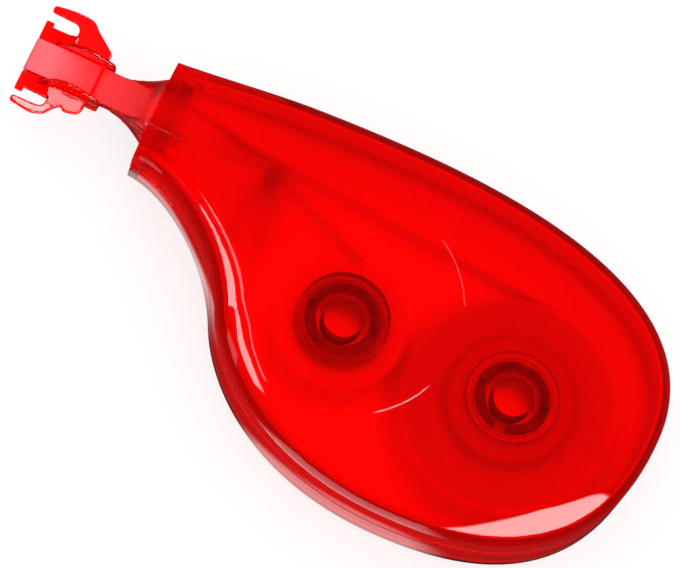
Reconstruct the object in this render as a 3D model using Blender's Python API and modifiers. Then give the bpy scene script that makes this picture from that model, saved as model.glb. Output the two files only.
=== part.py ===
"""Correction tape dispenser: a clear red two-part case with two geared reels and a flat tip.

Working frame while modelling: X runs from the front edge of the tip to the rear, Y across the
flat face, Z through the thickness with the case standing on Z = 0. The root empty then puts
the origin under the middle of the whole object. Lengths are in metres.
"""
import math

import bmesh
import bpy
from mathutils import Matrix, Vector

# Case
THICKNESS = 0.0150
WALL = 0.0014
EDGE_RADIUS = 0.0045
EDGE_DROP = 0.0030
SEAM_GAP = 0.0002
LIP_HEIGHT = 0.0008
LIP_GAP = 0.0002
ROOM_ABOVE = 0.0085
ROOM_BELOW = 0.0047
ROOM_BEHIND = 0.0031
CREST_FORWARD = 0.0200
REAR_RISE = 0.0034
BELLY_FORWARD = 0.0090
WAIST_FORWARD = 0.0144
WAIST_DROP = 0.0049
MOUTH_X = 0.0168
MOUTH_ROOM_ABOVE = 0.0004
MOUTH_ROOM_BELOW = 0.0023
MOUTH_ROOM_DEEP = 0.0004
TAPER_LENGTH = 0.0180
NOSE_OVERRUN = 0.0075

# Tape
TAPE_WIDTH = 0.0042
TAPE_THICKNESS = 0.00015
TAPE_GAP = 0.00015
TWIST_CLEARANCE = 0.0010
TWIST_LENGTH = 0.0125
ROLL_DEPTH = 0.0060
SPENT_DEPTH = 0.0007

# Gears
GEAR_MODULE = 0.0006
SUPPLY_TEETH = 48
TAKEUP_TEETH = 26
GEAR_FACE = 0.0016
GEAR_BACKLASH = 0.00016
PRESSURE_ANGLE = math.radians(20.0)
ADDENDUM_SHARE = 0.85
DEDENDUM_SHARE = 1.15
LIGHTENING_HOLES = 6
LIGHTENING_RADIUS = 0.0016

# Axles and reels
SUPPLY_X = 0.0700
AXLE_Y = -0.0154
POST_RADIUS = 0.0045
POST_WALL = 0.0009
POST_HEADROOM = 0.0007
POST_SLOT = 0.0014
POST_SLOT_FLOOR = 0.0030
SUPPLY_SLOTS = 4
TAKEUP_SLOTS = 2
SHOULDER_WIDTH = 0.0010
GEAR_LIFT = 0.0010
RUN_GAP = 0.0002
SEAT_GAP = 0.0001
HUB_WALL = 0.0009
CORE_WALL = 0.0013
CORE_FLANGE = 0.0005
FLANGE_INSET = 0.0006
FLANGE_THICKNESS = 0.0007
FLANGE_GAP = 0.0002
WASHER_THICKNESS = 0.0004
WASHER_WIDTH = 0.0024
CAP_THICKNESS = 0.0008
CAP_WIDTH = 0.0020
TAKEUP_CORE_WALL = 0.0012
TAKEUP_FLANGE_OVERLAP = 0.0006
PIN_WALL = 0.0010
PIN_DEPTH = 0.0055
BOSS_WALL = 0.0009

# Guide post and the two ribs beside it
GUIDE_X = 0.0330
GUIDE_RADIUS = 0.0010
RIB_GAP = 0.0003
RIB_THICKNESS = 0.0006
RIB_LENGTH = 0.0064
RIB_HEIGHT = 0.0032

# Tip
BLADE_THICKNESS = 0.0010
BLADE_EDGE = 0.0005
BLADE_SLOPE = 0.0040
BLADE_HALF = 0.0048
BLADE_FRONT = 0.00005
BLADE_CORNER = 0.0011
BLADE_TAIL = 0.0084
TAPE_SIDE_GAP = 0.00015
RAIL_THICKNESS = 0.00045
RAIL_DEPTH = 0.0018
RAIL_START = 0.0019
RAIL_END = 0.01015
RAIL_ARCH = ((0.0030, 0.0008), (0.0042, 0.0026), (0.0056, 0.0034), (0.0072, 0.0034), (0.0089, 0.0026))
RAIL_END_HEIGHT = 0.0019
WING_RISE = math.radians(11.0)
WING_THICKNESS = 0.0005
WING_ROOT = 0.0034
WING_FRONT = ((0.0002, 0.00665), (0.0019, 0.0069), (0.0032, 0.00705))
FAR_WING_REAR = ((0.0047, 0.0070), (0.0056, 0.0068), (0.0063, 0.0061), (0.0090, 0.0042))
NEAR_WING_REAR = ((0.0046, 0.0065), (0.0053, 0.00545), (0.0061, 0.00455), (0.0066, 0.0051),
                  (0.0082, 0.00475), (0.0087, 0.0040))
SLOT_INNER = 0.0042
SLOT_OUTER = 0.0057
SLOT_END = 0.0042
SLOT_CORNER = 0.0005
NECK_START = 0.0093
WEB_MARGIN = 0.0001
WEB_SHORT = 0.0018
FLARE_LENGTH = 0.0032
BORE_GAP = 0.0003
SHANK_SIDE_WALL = 0.0007
SHANK_TOP_WALL = 0.0005
SHANK_GAP = 0.0002
FRONT_WALL = 0.0014
COLLAR_OVERLAP = 0.0008
COLLAR_LENGTH = 0.0014
KEEPER_THICKNESS = 0.0010

# Facets
OUTLINE_STEPS = 9
ROUND_STEPS = 40
SMALL_STEPS = 16
EDGE_STEPS = 2
TAPER_CUTS = 4
TWIST_STEPS = 10
WRAP_STEPS = 4
OVERLAP = 0.0003

# Sizes that follow from the ones above
MID_Z = THICKNESS / 2
PITCH_SUPPLY = GEAR_MODULE * SUPPLY_TEETH / 2
PITCH_TAKEUP = GEAR_MODULE * TAKEUP_TEETH / 2
RIM_SUPPLY = PITCH_SUPPLY + ADDENDUM_SHARE * GEAR_MODULE
TAKEUP_X = SUPPLY_X - PITCH_SUPPLY - PITCH_TAKEUP
REAR_X = SUPPLY_X + RIM_SUPPLY + ROOM_BEHIND
CREST_Y = AXLE_Y + RIM_SUPPLY + ROOM_ABOVE
BELLY_Y = AXLE_Y - RIM_SUPPLY - ROOM_BELOW
WEB_END = MOUTH_X - WEB_SHORT
FLARE_START = MOUTH_X - FLARE_LENGTH
TWIST_START = WEB_END + TWIST_CLEARANCE
TWIST_END = TWIST_START + TWIST_LENGTH
TAPE_LOW = MID_Z - TAPE_WIDTH / 2
TAPE_HIGH = MID_Z + TAPE_WIDTH / 2
GEAR_LOW = WALL + GEAR_LIFT
GEAR_HIGH = GEAR_LOW + GEAR_FACE
GEAR_BORE = POST_RADIUS + RUN_GAP
HUB_RADIUS = GEAR_BORE + HUB_WALL
CORE_BORE = HUB_RADIUS + RUN_GAP
CORE_RADIUS = CORE_BORE + CORE_WALL
ROLL_RADIUS = CORE_RADIUS + ROLL_DEPTH
FLANGE_RADIUS = ROLL_RADIUS - FLANGE_INSET
TAKEUP_CORE = HUB_RADIUS + TAKEUP_CORE_WALL
SPENT_RADIUS = TAKEUP_CORE + SPENT_DEPTH
FLANGE_LOW = TAPE_HIGH + FLANGE_GAP
FLANGE_HIGH = FLANGE_LOW + FLANGE_THICKNESS
WASHER_LOW = FLANGE_HIGH + SEAT_GAP
CAP_LOW = WASHER_LOW + WASHER_THICKNESS + SEAT_GAP
CAP_HIGH = CAP_LOW + CAP_THICKNESS
POST_TOP = THICKNESS - WALL - POST_HEADROOM
TAPE_OFFSET = BLADE_THICKNESS / 2 + TAPE_GAP + TAPE_THICKNESS / 2
WRAP_RADIUS = BLADE_EDGE / 2 + TAPE_GAP + TAPE_THICKNESS / 2
BLADE_X = WRAP_RADIUS + TAPE_THICKNESS / 2
RAIL_Y = TAPE_WIDTH / 2 + TAPE_SIDE_GAP
NECK_HALF = RAIL_Y + RAIL_THICKNESS
WEB_HALF = TAPE_WIDTH / 2 + WEB_MARGIN
NECK_HEIGHT = 0.75 * RAIL_DEPTH
BORE_RADIUS = math.hypot(TAPE_WIDTH / 2, TAPE_OFFSET + TAPE_THICKNESS / 2) + BORE_GAP
SHANK_HALF_WIDTH = BORE_RADIUS + SHANK_SIDE_WALL
SHANK_HALF_HEIGHT = BORE_RADIUS + SHANK_TOP_WALL
COLLAR_HALF_WIDTH = SHANK_HALF_WIDTH + COLLAR_OVERLAP
COLLAR_HALF_HEIGHT = SHANK_HALF_HEIGHT + COLLAR_OVERLAP / 2
MOUTH_HIGH = COLLAR_HALF_WIDTH + MOUTH_ROOM_ABOVE + WALL
MOUTH_LOW = COLLAR_HALF_WIDTH + MOUTH_ROOM_BELOW + WALL
MOUTH_THICKNESS = 2 * (COLLAR_HALF_HEIGHT + MOUTH_ROOM_DEEP + WALL)
COLLAR_X = MOUTH_X + FRONT_WALL + SHANK_GAP
KEEPER_X = COLLAR_X + COLLAR_LENGTH + SHANK_GAP
LIP_X = KEEPER_X + KEEPER_THICKNESS + 2 * LIP_GAP
GUIDE_Y = -(TAPE_OFFSET + TAPE_THICKNESS / 2 + TAPE_GAP + GUIDE_RADIUS)


def clear_scene():
    """Remove whatever the scene starts with."""
    for item in list(bpy.data.objects):
        bpy.data.objects.remove(item, do_unlink=True)


def new_collection(name):
    """Return a new collection linked into the scene."""
    collection = bpy.data.collections.new(name)
    bpy.context.scene.collection.children.link(collection)
    return collection


def principled(name, color, roughness, transmission=0.0):
    """Return a material with one Principled shader."""
    material = bpy.data.materials.new(name)
    material.use_nodes = True
    shader = material.node_tree.nodes["Principled BSDF"]
    shader.inputs["Base Color"].default_value = (*color, 1.0)
    shader.inputs["Roughness"].default_value = roughness
    shader.inputs["Metallic"].default_value = 0.0
    shader.inputs["Transmission Weight"].default_value = transmission
    return material


def link(item):
    """Link an object into the scene and return it."""
    bpy.context.scene.collection.objects.link(item)
    return item


def settle(item, face_out=True):
    """Replace an object by a plain welded mesh of what it evaluates to."""
    graph = bpy.context.evaluated_depsgraph_get()
    mesh = bpy.data.meshes.new_from_object(item.evaluated_get(graph))
    matrix = item.matrix_world.copy()
    bpy.data.objects.remove(item, do_unlink=True)
    work = bmesh.new()
    work.from_mesh(mesh)
    work.transform(matrix)
    bmesh.ops.remove_doubles(work, verts=work.verts, dist=1e-6)
    if face_out:
        bmesh.ops.recalc_face_normals(work, faces=work.faces)
    work.to_mesh(mesh)
    work.free()
    mesh.materials.clear()
    return link(bpy.data.objects.new("shape", mesh))


def combine(target, other, operation):
    """Apply one Boolean between two meshes and use up the second."""
    modifier = target.modifiers.new("boolean", "BOOLEAN")
    modifier.operation = operation
    modifier.solver = "EXACT"
    modifier.object = other
    result = settle(target, face_out=False)
    bpy.data.objects.remove(other, do_unlink=True)
    return result


def join(target, *others):
    """Union meshes into one body."""
    for other in others:
        target = combine(target, other, "UNION")
    return target


def cut(target, *others):
    """Cut meshes out of a body."""
    for other in others:
        target = combine(target, other, "DIFFERENCE")
    return target


def circle(radius, steps=ROUND_STEPS, center=(0.0, 0.0)):
    """Points of a circle that starts at +X."""
    turn = math.tau / steps
    return [(center[0] + radius * math.cos(turn * i), center[1] + radius * math.sin(turn * i))
            for i in range(steps)]


def plate(loops, low, high, edge=0.0, edge_steps=EDGE_STEPS):
    """Extrude outlines between two heights, with holes where a loop lies inside another."""
    curve = bpy.data.curves.new("outline", "CURVE")
    curve.dimensions = "2D"
    curve.fill_mode = "BOTH"
    curve.extrude = (high - low) / 2 - edge
    curve.bevel_depth = edge
    curve.bevel_resolution = edge_steps if edge else 0
    for loop in loops:
        spline = curve.splines.new("POLY")
        spline.points.add(len(loop) - 1)
        for point, (x, y) in zip(spline.points, loop):
            point.co = (x, y, 0.0, 1.0)
        spline.use_cyclic_u = True
    item = link(bpy.data.objects.new("outline", curve))
    item.location.z = (low + high) / 2
    bpy.context.view_layer.update()
    return settle(item)


def box(low, high):
    """A block between two corners."""
    work = bmesh.new()
    bmesh.ops.create_cube(work, size=1.0)
    size = Vector(high) - Vector(low)
    middle = (Vector(high) + Vector(low)) / 2
    work.transform(Matrix.Translation(middle) @ Matrix.Diagonal((*size, 1.0)))
    mesh = bpy.data.meshes.new("box")
    work.to_mesh(mesh)
    work.free()
    return link(bpy.data.objects.new("box", mesh))


def rod(radius, low, high, center=(0.0, 0.0), steps=ROUND_STEPS):
    """A solid cylinder along Z."""
    return plate([circle(radius, steps, center)], low, high)


def turned(profile, steps=ROUND_STEPS):
    """Turn a closed profile of (radius, height) points about Z."""
    mesh = bpy.data.meshes.new("profile")
    count = len(profile)
    edges = [(i, (i + 1) % count) for i in range(count)]
    mesh.from_pydata([(radius, 0.0, height) for radius, height in profile], edges, [])
    item = link(bpy.data.objects.new("profile", mesh))
    screw = item.modifiers.new("turn", "SCREW")
    screw.steps = steps
    screw.render_steps = steps
    screw.use_merge_vertices = True
    screw.merge_threshold = 1e-6
    bpy.context.view_layer.update()
    return settle(item)


def ring(inner, outer, low, high):
    """A plain ring about Z."""
    return turned([(inner, low), (inner, high), (outer, high), (outer, low)])


def loft(sections):
    """Skin a row of sections that have equal point counts, and close both ends."""
    work = bmesh.new()
    rows = [[work.verts.new(point) for point in section] for section in sections]
    count = len(rows[0])
    for first, second in zip(rows, rows[1:]):
        for i in range(count):
            j = (i + 1) % count
            work.faces.new((first[i], first[j], second[j], second[i]))
    work.faces.new(rows[0])
    work.faces.new(rows[-1])
    bmesh.ops.recalc_face_normals(work, faces=work.faces)
    mesh = bpy.data.meshes.new("loft")
    work.to_mesh(mesh)
    work.free()
    return link(bpy.data.objects.new("loft", mesh))


def slice_at(item, axis, places):
    """Add edge loops where planes square to one axis cross the mesh."""
    work = bmesh.new()
    work.from_mesh(item.data)
    normal = Vector((0.0, 0.0, 0.0))
    normal[axis] = 1.0
    for place in places:
        everything = list(work.verts) + list(work.edges) + list(work.faces)
        bmesh.ops.bisect_plane(work, geom=everything, plane_co=normal * place, plane_no=normal)
    work.to_mesh(item.data)
    work.free()


def move_points(item, rule):
    """Pass every vertex position through a function."""
    for vertex in item.data.vertices:
        vertex.co = rule(vertex.co)


def tangent(first, first_radius, second, second_radius):
    """Unit normal of the line that touches two circles on their +Y side."""
    reach = Vector(second) - Vector(first)
    angle = math.atan2(reach.y, reach.x) + math.acos((first_radius - second_radius) / reach.length)
    return Vector((math.cos(angle), math.sin(angle)))


def case_knots():
    """Outline knots: place, heading in degrees, and how far the curve runs straight on.

    The reach is given before and after the knot, as a share of the chord on that side.
    """
    nose = (MOUTH_X - NOSE_OVERRUN, (MOUTH_HIGH - MOUTH_LOW) / 2)
    return [
        ((MOUTH_X, MOUTH_HIGH), 5.7, 0.39, 0.33),
        ((SUPPLY_X - CREST_FORWARD, CREST_Y), 0.0, 0.33, 0.53),
        ((REAR_X, AXLE_Y + REAR_RISE), -90.0, 0.33, 0.45),
        ((SUPPLY_X - BELLY_FORWARD, BELLY_Y), -180.0, 0.48, 0.47),
        ((TAKEUP_X - WAIST_FORWARD, AXLE_Y - WAIST_DROP), -244.6, 0.26, 0.38),
        ((MOUTH_X, -MOUTH_LOW), -180.0, 0.25, 0.39),
        (nose, -270.0, 0.39, 0.39),
    ]


def case_outline(inset):
    """The case outline, moved inwards by one distance, as points going clockwise."""
    knots = case_knots()
    points = []
    for i, (start, heading, _, reach_out) in enumerate(knots):
        end, end_heading, reach_in, _ = knots[(i + 1) % len(knots)]
        start = Vector(start)
        end = Vector(end)
        chord = (end - start).length
        angle = math.radians(heading)
        end_angle = math.radians(end_heading)
        first = start + reach_out * chord * Vector((math.cos(angle), math.sin(angle)))
        second = end - reach_in * chord * Vector((math.cos(end_angle), math.sin(end_angle)))
        for step in range(OUTLINE_STEPS):
            t = step / OUTLINE_STEPS
            s = 1.0 - t
            place = s**3 * start + 3 * s * s * t * first + 3 * s * t * t * second + t**3 * end
            along = s * s * (first - start) + 2 * s * t * (second - first) + t * t * (end - second)
            along.normalize()
            points.append((place.x + inset * along.y, place.y - inset * along.x))
    return points


def taper(point):
    """Thin the case towards its mouth, evenly above and below the seam."""
    share = min(max((point.x - MOUTH_X) / TAPER_LENGTH, 0.0), 1.0)
    smooth = share * share * (3.0 - 2.0 * share)
    scale = MOUTH_THICKNESS / THICKNESS
    scale += (1.0 - scale) * smooth
    return Vector((point.x, point.y, MID_Z + (point.z - MID_Z) * scale))


def pebble(inset):
    """The case form, drawn in all round by one distance: round edges pressed to quarter ellipses."""
    item = plate([case_outline(EDGE_RADIUS)], inset, THICKNESS - inset, EDGE_RADIUS - inset)
    press = (EDGE_DROP - inset) / (EDGE_RADIUS - inset)

    def press_edge(point):
        """Keep the plan and shorten the rise from the straight wall to the flat."""
        rise = max(abs(point.z - MID_Z) - (MID_Z - EDGE_RADIUS), 0.0)
        height = MID_Z - EDGE_DROP + rise * press
        return Vector((point.x, point.y, MID_Z + math.copysign(height, point.z - MID_Z)))

    move_points(item, press_edge)
    step = TAPER_LENGTH / TAPER_CUTS
    slice_at(item, 0, [MOUTH_X + step * i for i in range(TAPER_CUTS + 1)])
    move_points(item, taper)
    return item


def half_space(x_low, z_low, z_high):
    """A block that takes in the whole case behind x_low, between two heights."""
    margin = THICKNESS
    return box((x_low, BELLY_Y - margin, z_low), (REAR_X + margin, CREST_Y + margin, z_high))


def hollow_case():
    """The whole case wall: outer form less the cavity, cut flat at the mouth."""
    far = 2 * THICKNESS
    outer = combine(pebble(0.0), half_space(MOUTH_X, -far, far), "INTERSECT")
    cavity = combine(pebble(WALL), half_space(MOUTH_X + FRONT_WALL, -far, far), "INTERSECT")
    shell = cut(outer, cavity)
    width = SHANK_HALF_WIDTH + SHANK_GAP
    height = SHANK_HALF_HEIGHT + SHANK_GAP
    back = MOUTH_X + FRONT_WALL + OVERLAP
    opening = box((MOUTH_X - OVERLAP, -width, MID_Z - height), (back, width, MID_Z + height))
    return cut(shell, opening)


def lip(inner, outer, low, high, start):
    """A band that follows the case wall behind one place on X."""
    band = plate([case_outline(outer), case_outline(inner)], low, high)
    return combine(band, half_space(start, low - OVERLAP, high + OVERLAP), "INTERSECT")


def split_post(center, slots):
    """A hollow axle post with slots down from its top, on a round shoulder."""
    post = rod(POST_RADIUS, WALL - OVERLAP, POST_TOP, center)
    shoulder = rod(POST_RADIUS + SHOULDER_WIDTH, WALL - OVERLAP, GEAR_LOW - RUN_GAP, center)
    post = join(post, shoulder)
    post = cut(post, rod(POST_RADIUS - POST_WALL, WALL + OVERLAP, POST_TOP + OVERLAP, center))
    reach = POST_RADIUS + OVERLAP
    floor = WALL + POST_SLOT_FLOOR
    for i in range(slots):
        slot = box((0.0, -POST_SLOT / 2, floor), (reach, POST_SLOT / 2, POST_TOP + OVERLAP))
        turn = Matrix.Rotation(math.tau * i / slots, 4, "Z")
        slot.data.transform(Matrix.Translation((*center, 0.0)) @ turn)
        post = cut(post, slot)
    return post


def guide_post():
    """The fixed post that the spent tape bends over."""
    top = TAPE_HIGH + FLANGE_THICKNESS
    return rod(GUIDE_RADIUS, WALL - OVERLAP, top, (GUIDE_X, GUIDE_Y), SMALL_STEPS)


def case_ribs():
    """Two low ribs on the floor, square to the tape, below its edge."""
    ribs = []
    for side in (-1, 1):
        middle = GUIDE_X + side * (GUIDE_RADIUS + RIB_GAP + RIB_THICKNESS / 2)
        ribs.append(box((middle - RIB_THICKNESS / 2, GUIDE_Y - RIB_LENGTH, WALL - OVERLAP),
                        (middle + RIB_THICKNESS / 2, GUIDE_Y, WALL + RIB_HEIGHT)))
    return ribs


def collar_keepers(low, high):
    """Two ribs just behind the tip's collar, one on each side of the tape."""
    keepers = []
    for side in (-1, 1):
        inner = side * (BORE_RADIUS + OVERLAP)
        outer = side * COLLAR_HALF_WIDTH
        keepers.append(box((KEEPER_X, min(inner, outer), low),
                           (KEEPER_X + KEEPER_THICKNESS, max(inner, outer), high)))
    return keepers


def floor_under_mouth():
    """Height of the cavity floor just behind the collar."""
    return taper(Vector((COLLAR_X + COLLAR_LENGTH, 0.0, WALL))).z


def case_bottom():
    """Lower shell with its lip, split axle posts, guide post, ribs and collar keepers."""
    far = 2 * THICKNESS
    seam = MID_Z - SEAM_GAP / 2
    shell = combine(hollow_case(), half_space(0.0, -far, seam), "INTERSECT")
    outer = WALL / 2 + LIP_GAP / 2
    shell = join(shell, lip(WALL + OVERLAP, outer, seam - LIP_HEIGHT, seam + LIP_HEIGHT, LIP_X))
    shell = join(shell, split_post((SUPPLY_X, AXLE_Y), SUPPLY_SLOTS))
    shell = join(shell, split_post((TAKEUP_X, AXLE_Y), TAKEUP_SLOTS))
    shell = join(shell, guide_post(), *case_ribs())
    low = floor_under_mouth() - OVERLAP
    return join(shell, *collar_keepers(low, MID_Z - SEAM_GAP))


def top_boss(center, hub_top):
    """A ring that holds a reel down, with a hollow pin that plugs into its post."""
    ceiling = THICKNESS - WALL
    bore = POST_RADIUS + RUN_GAP
    boss = ring(bore, bore + BOSS_WALL, hub_top + RUN_GAP, ceiling + OVERLAP)
    pin_radius = POST_RADIUS - POST_WALL - RUN_GAP
    pin = ring(pin_radius - PIN_WALL, pin_radius, ceiling - PIN_DEPTH, ceiling + OVERLAP)
    for item in (boss, pin):
        item.data.transform(Matrix.Translation((*center, 0.0)))
    return boss, pin


def case_top():
    """Upper shell with the groove for the lip and a boss and pin over each axle."""
    far = 2 * THICKNESS
    seam = MID_Z + SEAM_GAP / 2
    shell = combine(hollow_case(), half_space(0.0, seam, far), "INTERSECT")
    groove_top = MID_Z - SEAM_GAP / 2 + LIP_HEIGHT + LIP_GAP
    outer = WALL / 2 - LIP_GAP / 2
    shell = cut(shell, lip(WALL + 2 * OVERLAP, outer, seam - OVERLAP, groove_top, LIP_X - LIP_GAP))
    shell = join(shell, *top_boss((SUPPLY_X, AXLE_Y), CAP_HIGH))
    shell = join(shell, *top_boss((TAKEUP_X, AXLE_Y), FLANGE_HIGH))
    high = 2 * MID_Z - floor_under_mouth() + OVERLAP
    return join(shell, *collar_keepers(MID_Z + SEAM_GAP, high))


def involute(angle):
    """Involute function of a pressure angle."""
    return math.tan(angle) - angle


def gear_outline(teeth, first_tooth):
    """Spur gear outline with three points to each flank."""
    pitch = GEAR_MODULE * teeth / 2
    base = pitch * math.cos(PRESSURE_ANGLE)
    root = pitch - DEDENDUM_SHARE * GEAR_MODULE
    rim = pitch + ADDENDUM_SHARE * GEAR_MODULE
    half_pitch = math.pi / (2 * teeth) - GEAR_BACKLASH / (4 * pitch)

    def half_width(radius):
        """Half the tooth's angle at one radius."""
        pressure = math.acos(min(base / radius, 1.0))
        return half_pitch + involute(PRESSURE_ANGLE) - involute(pressure)

    flank = [(radius, half_width(radius)) for radius in (root, pitch, rim)]
    points = []
    for i in range(teeth):
        middle = first_tooth + math.tau * i / teeth
        rising = [(radius, middle - half) for radius, half in flank]
        falling = [(radius, middle + half) for radius, half in reversed(flank)]
        for radius, angle in rising + falling:
            points.append((radius * math.cos(angle), radius * math.sin(angle)))
    return points


def supply_gear():
    """Large gear with round lightening holes and the hub that carries the supply core."""
    gear = plate([gear_outline(SUPPLY_TEETH, 0.0)], GEAR_LOW, GEAR_HIGH)
    gear = join(gear, rod(HUB_RADIUS, GEAR_LOW + OVERLAP, CAP_HIGH))
    gear = cut(gear, rod(GEAR_BORE, GEAR_LOW - OVERLAP, CAP_HIGH + OVERLAP))
    hole_ring = (HUB_RADIUS + WASHER_WIDTH + PITCH_SUPPLY) / 2
    for i in range(LIGHTENING_HOLES):
        turn = math.tau * i / LIGHTENING_HOLES
        center = (hole_ring * math.cos(turn), hole_ring * math.sin(turn))
        low = GEAR_LOW - OVERLAP
        gear = cut(gear, rod(LIGHTENING_RADIUS, low, GEAR_HIGH + OVERLAP, center, SMALL_STEPS))
    return gear


def friction_washer(low):
    """A soft washer round the supply hub."""
    return ring(CORE_BORE, CORE_BORE + WASHER_WIDTH, low, low + WASHER_THICKNESS)


def lower_washer():
    """The washer between the gear and the supply core."""
    return friction_washer(GEAR_HIGH + SEAT_GAP)


def upper_washer():
    """The washer between the upper flange and the clutch cap."""
    return friction_washer(WASHER_LOW)


def supply_core():
    """The tube that the tape is wound on, with its lower flange."""
    low = GEAR_HIGH + WASHER_THICKNESS + 2 * SEAT_GAP
    step = low + CORE_FLANGE
    high = FLANGE_LOW - SEAT_GAP
    return turned([(CORE_BORE, low), (CORE_BORE, high), (CORE_RADIUS, high),
                   (CORE_RADIUS, step), (FLANGE_RADIUS, step), (FLANGE_RADIUS, low)])


def tape_roll():
    """The fresh tape, wound tight."""
    return ring(CORE_RADIUS + SEAT_GAP, ROLL_RADIUS, TAPE_LOW, TAPE_HIGH)


def supply_flange():
    """The thin disc over the fresh tape."""
    return ring(CORE_BORE, FLANGE_RADIUS, FLANGE_LOW, FLANGE_HIGH)


def clutch_cap():
    """The ring pressed on the hub that keeps the clutch stack together."""
    inner = HUB_RADIUS + SEAT_GAP
    outer = inner + CAP_WIDTH
    shoulder = CAP_THICKNESS / 2
    return turned([(inner, CAP_LOW), (inner, CAP_HIGH), (outer - shoulder, CAP_HIGH),
                   (outer, CAP_HIGH - shoulder), (outer, CAP_LOW)])


def takeup_reel():
    """Small gear in one piece with the core that winds up the spent tape."""
    half_tooth = math.pi / TAKEUP_TEETH
    gear = plate([gear_outline(TAKEUP_TEETH, half_tooth)], GEAR_LOW, GEAR_HIGH)
    root = PITCH_TAKEUP - DEDENDUM_SHARE * GEAR_MODULE
    seat = rod(root, GEAR_LOW + OVERLAP, TAPE_LOW - FLANGE_GAP)
    core = rod(TAKEUP_CORE, GEAR_LOW + 2 * OVERLAP, FLANGE_LOW - SEAT_GAP)
    spigot = rod(HUB_RADIUS, GEAR_LOW + 3 * OVERLAP, FLANGE_HIGH)
    gear = join(gear, seat, core, spigot)
    return cut(gear, rod(GEAR_BORE, GEAR_LOW - OVERLAP, FLANGE_HIGH + OVERLAP))


def takeup_flange():
    """The disc pressed on the top of the take-up core."""
    outer = SPENT_RADIUS + TAKEUP_FLANGE_OVERLAP
    return ring(HUB_RADIUS + SEAT_GAP, outer, FLANGE_LOW, FLANGE_HIGH)


def spent_roll():
    """The spent backing tape wound so far."""
    return ring(TAKEUP_CORE + SEAT_GAP, SPENT_RADIUS, TAPE_LOW, TAPE_HIGH)


def mirrored(half):
    """Close an outline that runs from front to rear on +Y with its mirror image."""
    return half + [(x, -y) for x, y in reversed(half)]


def tip_blade():
    """The blade that carries the tape, with shoulders beside its front edge, and the web of the neck."""
    half = [
        (BLADE_X, RAIL_Y), (BLADE_FRONT, RAIL_Y), (BLADE_FRONT, BLADE_HALF), (BLADE_CORNER, BLADE_HALF),
        (BLADE_CORNER, SLOT_INNER), (BLADE_TAIL, SLOT_INNER), (NECK_START, NECK_HALF),
        (RAIL_END, NECK_HALF), (RAIL_END, WEB_HALF), (WEB_END, WEB_HALF),
    ]
    item = plate([mirrored(half)], MID_Z - BLADE_THICKNESS / 2, MID_Z + BLADE_THICKNESS / 2)
    slice_at(item, 0, [BLADE_SLOPE])

    def thin(point):
        """Bring both faces together in front of the slope's end."""
        along = min(max((point.x - BLADE_X) / (BLADE_SLOPE - BLADE_X), 0.0), 1.0)
        thickness = BLADE_EDGE + (BLADE_THICKNESS - BLADE_EDGE) * along
        return Vector((point.x, point.y, MID_Z + math.copysign(thickness / 2, point.z - MID_Z)))

    move_points(item, thin)
    return item


def tip_wing(side, rear):
    """One thin wing, rooted in the blade behind the open slot and rising outwards."""
    outer = [*WING_FRONT, *rear]
    loop = [
        (outer[0][0], SLOT_OUTER), *outer, (outer[-1][0], WING_ROOT), (SLOT_END, WING_ROOT),
        (SLOT_END, SLOT_OUTER - SLOT_CORNER), (SLOT_END - SLOT_CORNER, SLOT_OUTER),
    ]
    item = plate([[(x, side * y) for x, y in loop]],
                 MID_Z - WING_THICKNESS / 2, MID_Z + WING_THICKNESS / 2)
    slope = math.tan(WING_RISE)
    move_points(item, lambda point: point + Vector((0.0, 0.0, slope * (abs(point.y) - WING_ROOT))))
    return item


def tip_rail(side):
    """One wall beside the tape: an arch above the blade and a lower keel under it."""
    inner = side * RAIL_Y
    outer = side * NECK_HALF
    low = BLADE_EDGE / 2
    loop = [(RAIL_START, -low), (RAIL_START, low), *RAIL_ARCH, (RAIL_END, RAIL_END_HEIGHT),
            (RAIL_END, -RAIL_DEPTH), (RAIL_START + RAIL_DEPTH, -RAIL_DEPTH)]
    return loft([[(x, y, MID_Z + z) for x, z in loop] for y in (inner, outer)])


def block_section(x, half_width, half_height):
    """Corners of an upright rectangle across the shank, with its corners taken off."""
    corner = 0.25 * half_height
    quarter = [(half_width - corner, half_height), (half_width, half_height - corner)]
    right = quarter + [(y, -z) for y, z in reversed(quarter)]
    loop = right + [(-y, z) for y, z in reversed(right)]
    return [(x, y, MID_Z + z) for y, z in loop]


def tip_shank():
    """The flared shank that passes the mouth, and the collar behind the front wall."""
    shank = loft([
        block_section(FLARE_START, NECK_HALF, NECK_HEIGHT),
        block_section(MOUTH_X - 2 * OVERLAP, SHANK_HALF_WIDTH, SHANK_HALF_HEIGHT),
        block_section(COLLAR_X + OVERLAP, SHANK_HALF_WIDTH, SHANK_HALF_HEIGHT),
    ])
    rear = COLLAR_X + COLLAR_LENGTH
    collar = loft([block_section(x, COLLAR_HALF_WIDTH, COLLAR_HALF_HEIGHT)
                   for x in (COLLAR_X, rear)])
    shank = join(shank, collar)
    bore = plate([circle(BORE_RADIUS)], WEB_END - OVERLAP, rear + OVERLAP)
    bore.data.transform(Matrix.Rotation(math.pi / 2, 4, "Y"))
    bore.data.transform(Matrix.Translation((0.0, 0.0, MID_Z)))
    shank = cut(shank, bore)
    slot_high = TAPE_OFFSET + TAPE_THICKNESS + 2 * TAPE_GAP
    for side in (-1, 1):
        near = MID_Z + side * BLADE_THICKNESS / 2
        far = MID_Z + side * slot_high
        slot = box((FLARE_START - OVERLAP, -RAIL_Y, min(near, far)),
                   (WEB_END + OVERLAP, RAIL_Y, max(near, far)))
        shank = cut(shank, slot)
    return shank


def tip_head():
    """The one-piece tip: blade, wings, tape walls, neck, shank and collar."""
    head = join(tip_blade(), tip_wing(1, FAR_WING_REAR), tip_wing(-1, NEAR_WING_REAR))
    head = join(head, tip_rail(-1), tip_rail(1))
    return join(head, tip_shank())


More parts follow.
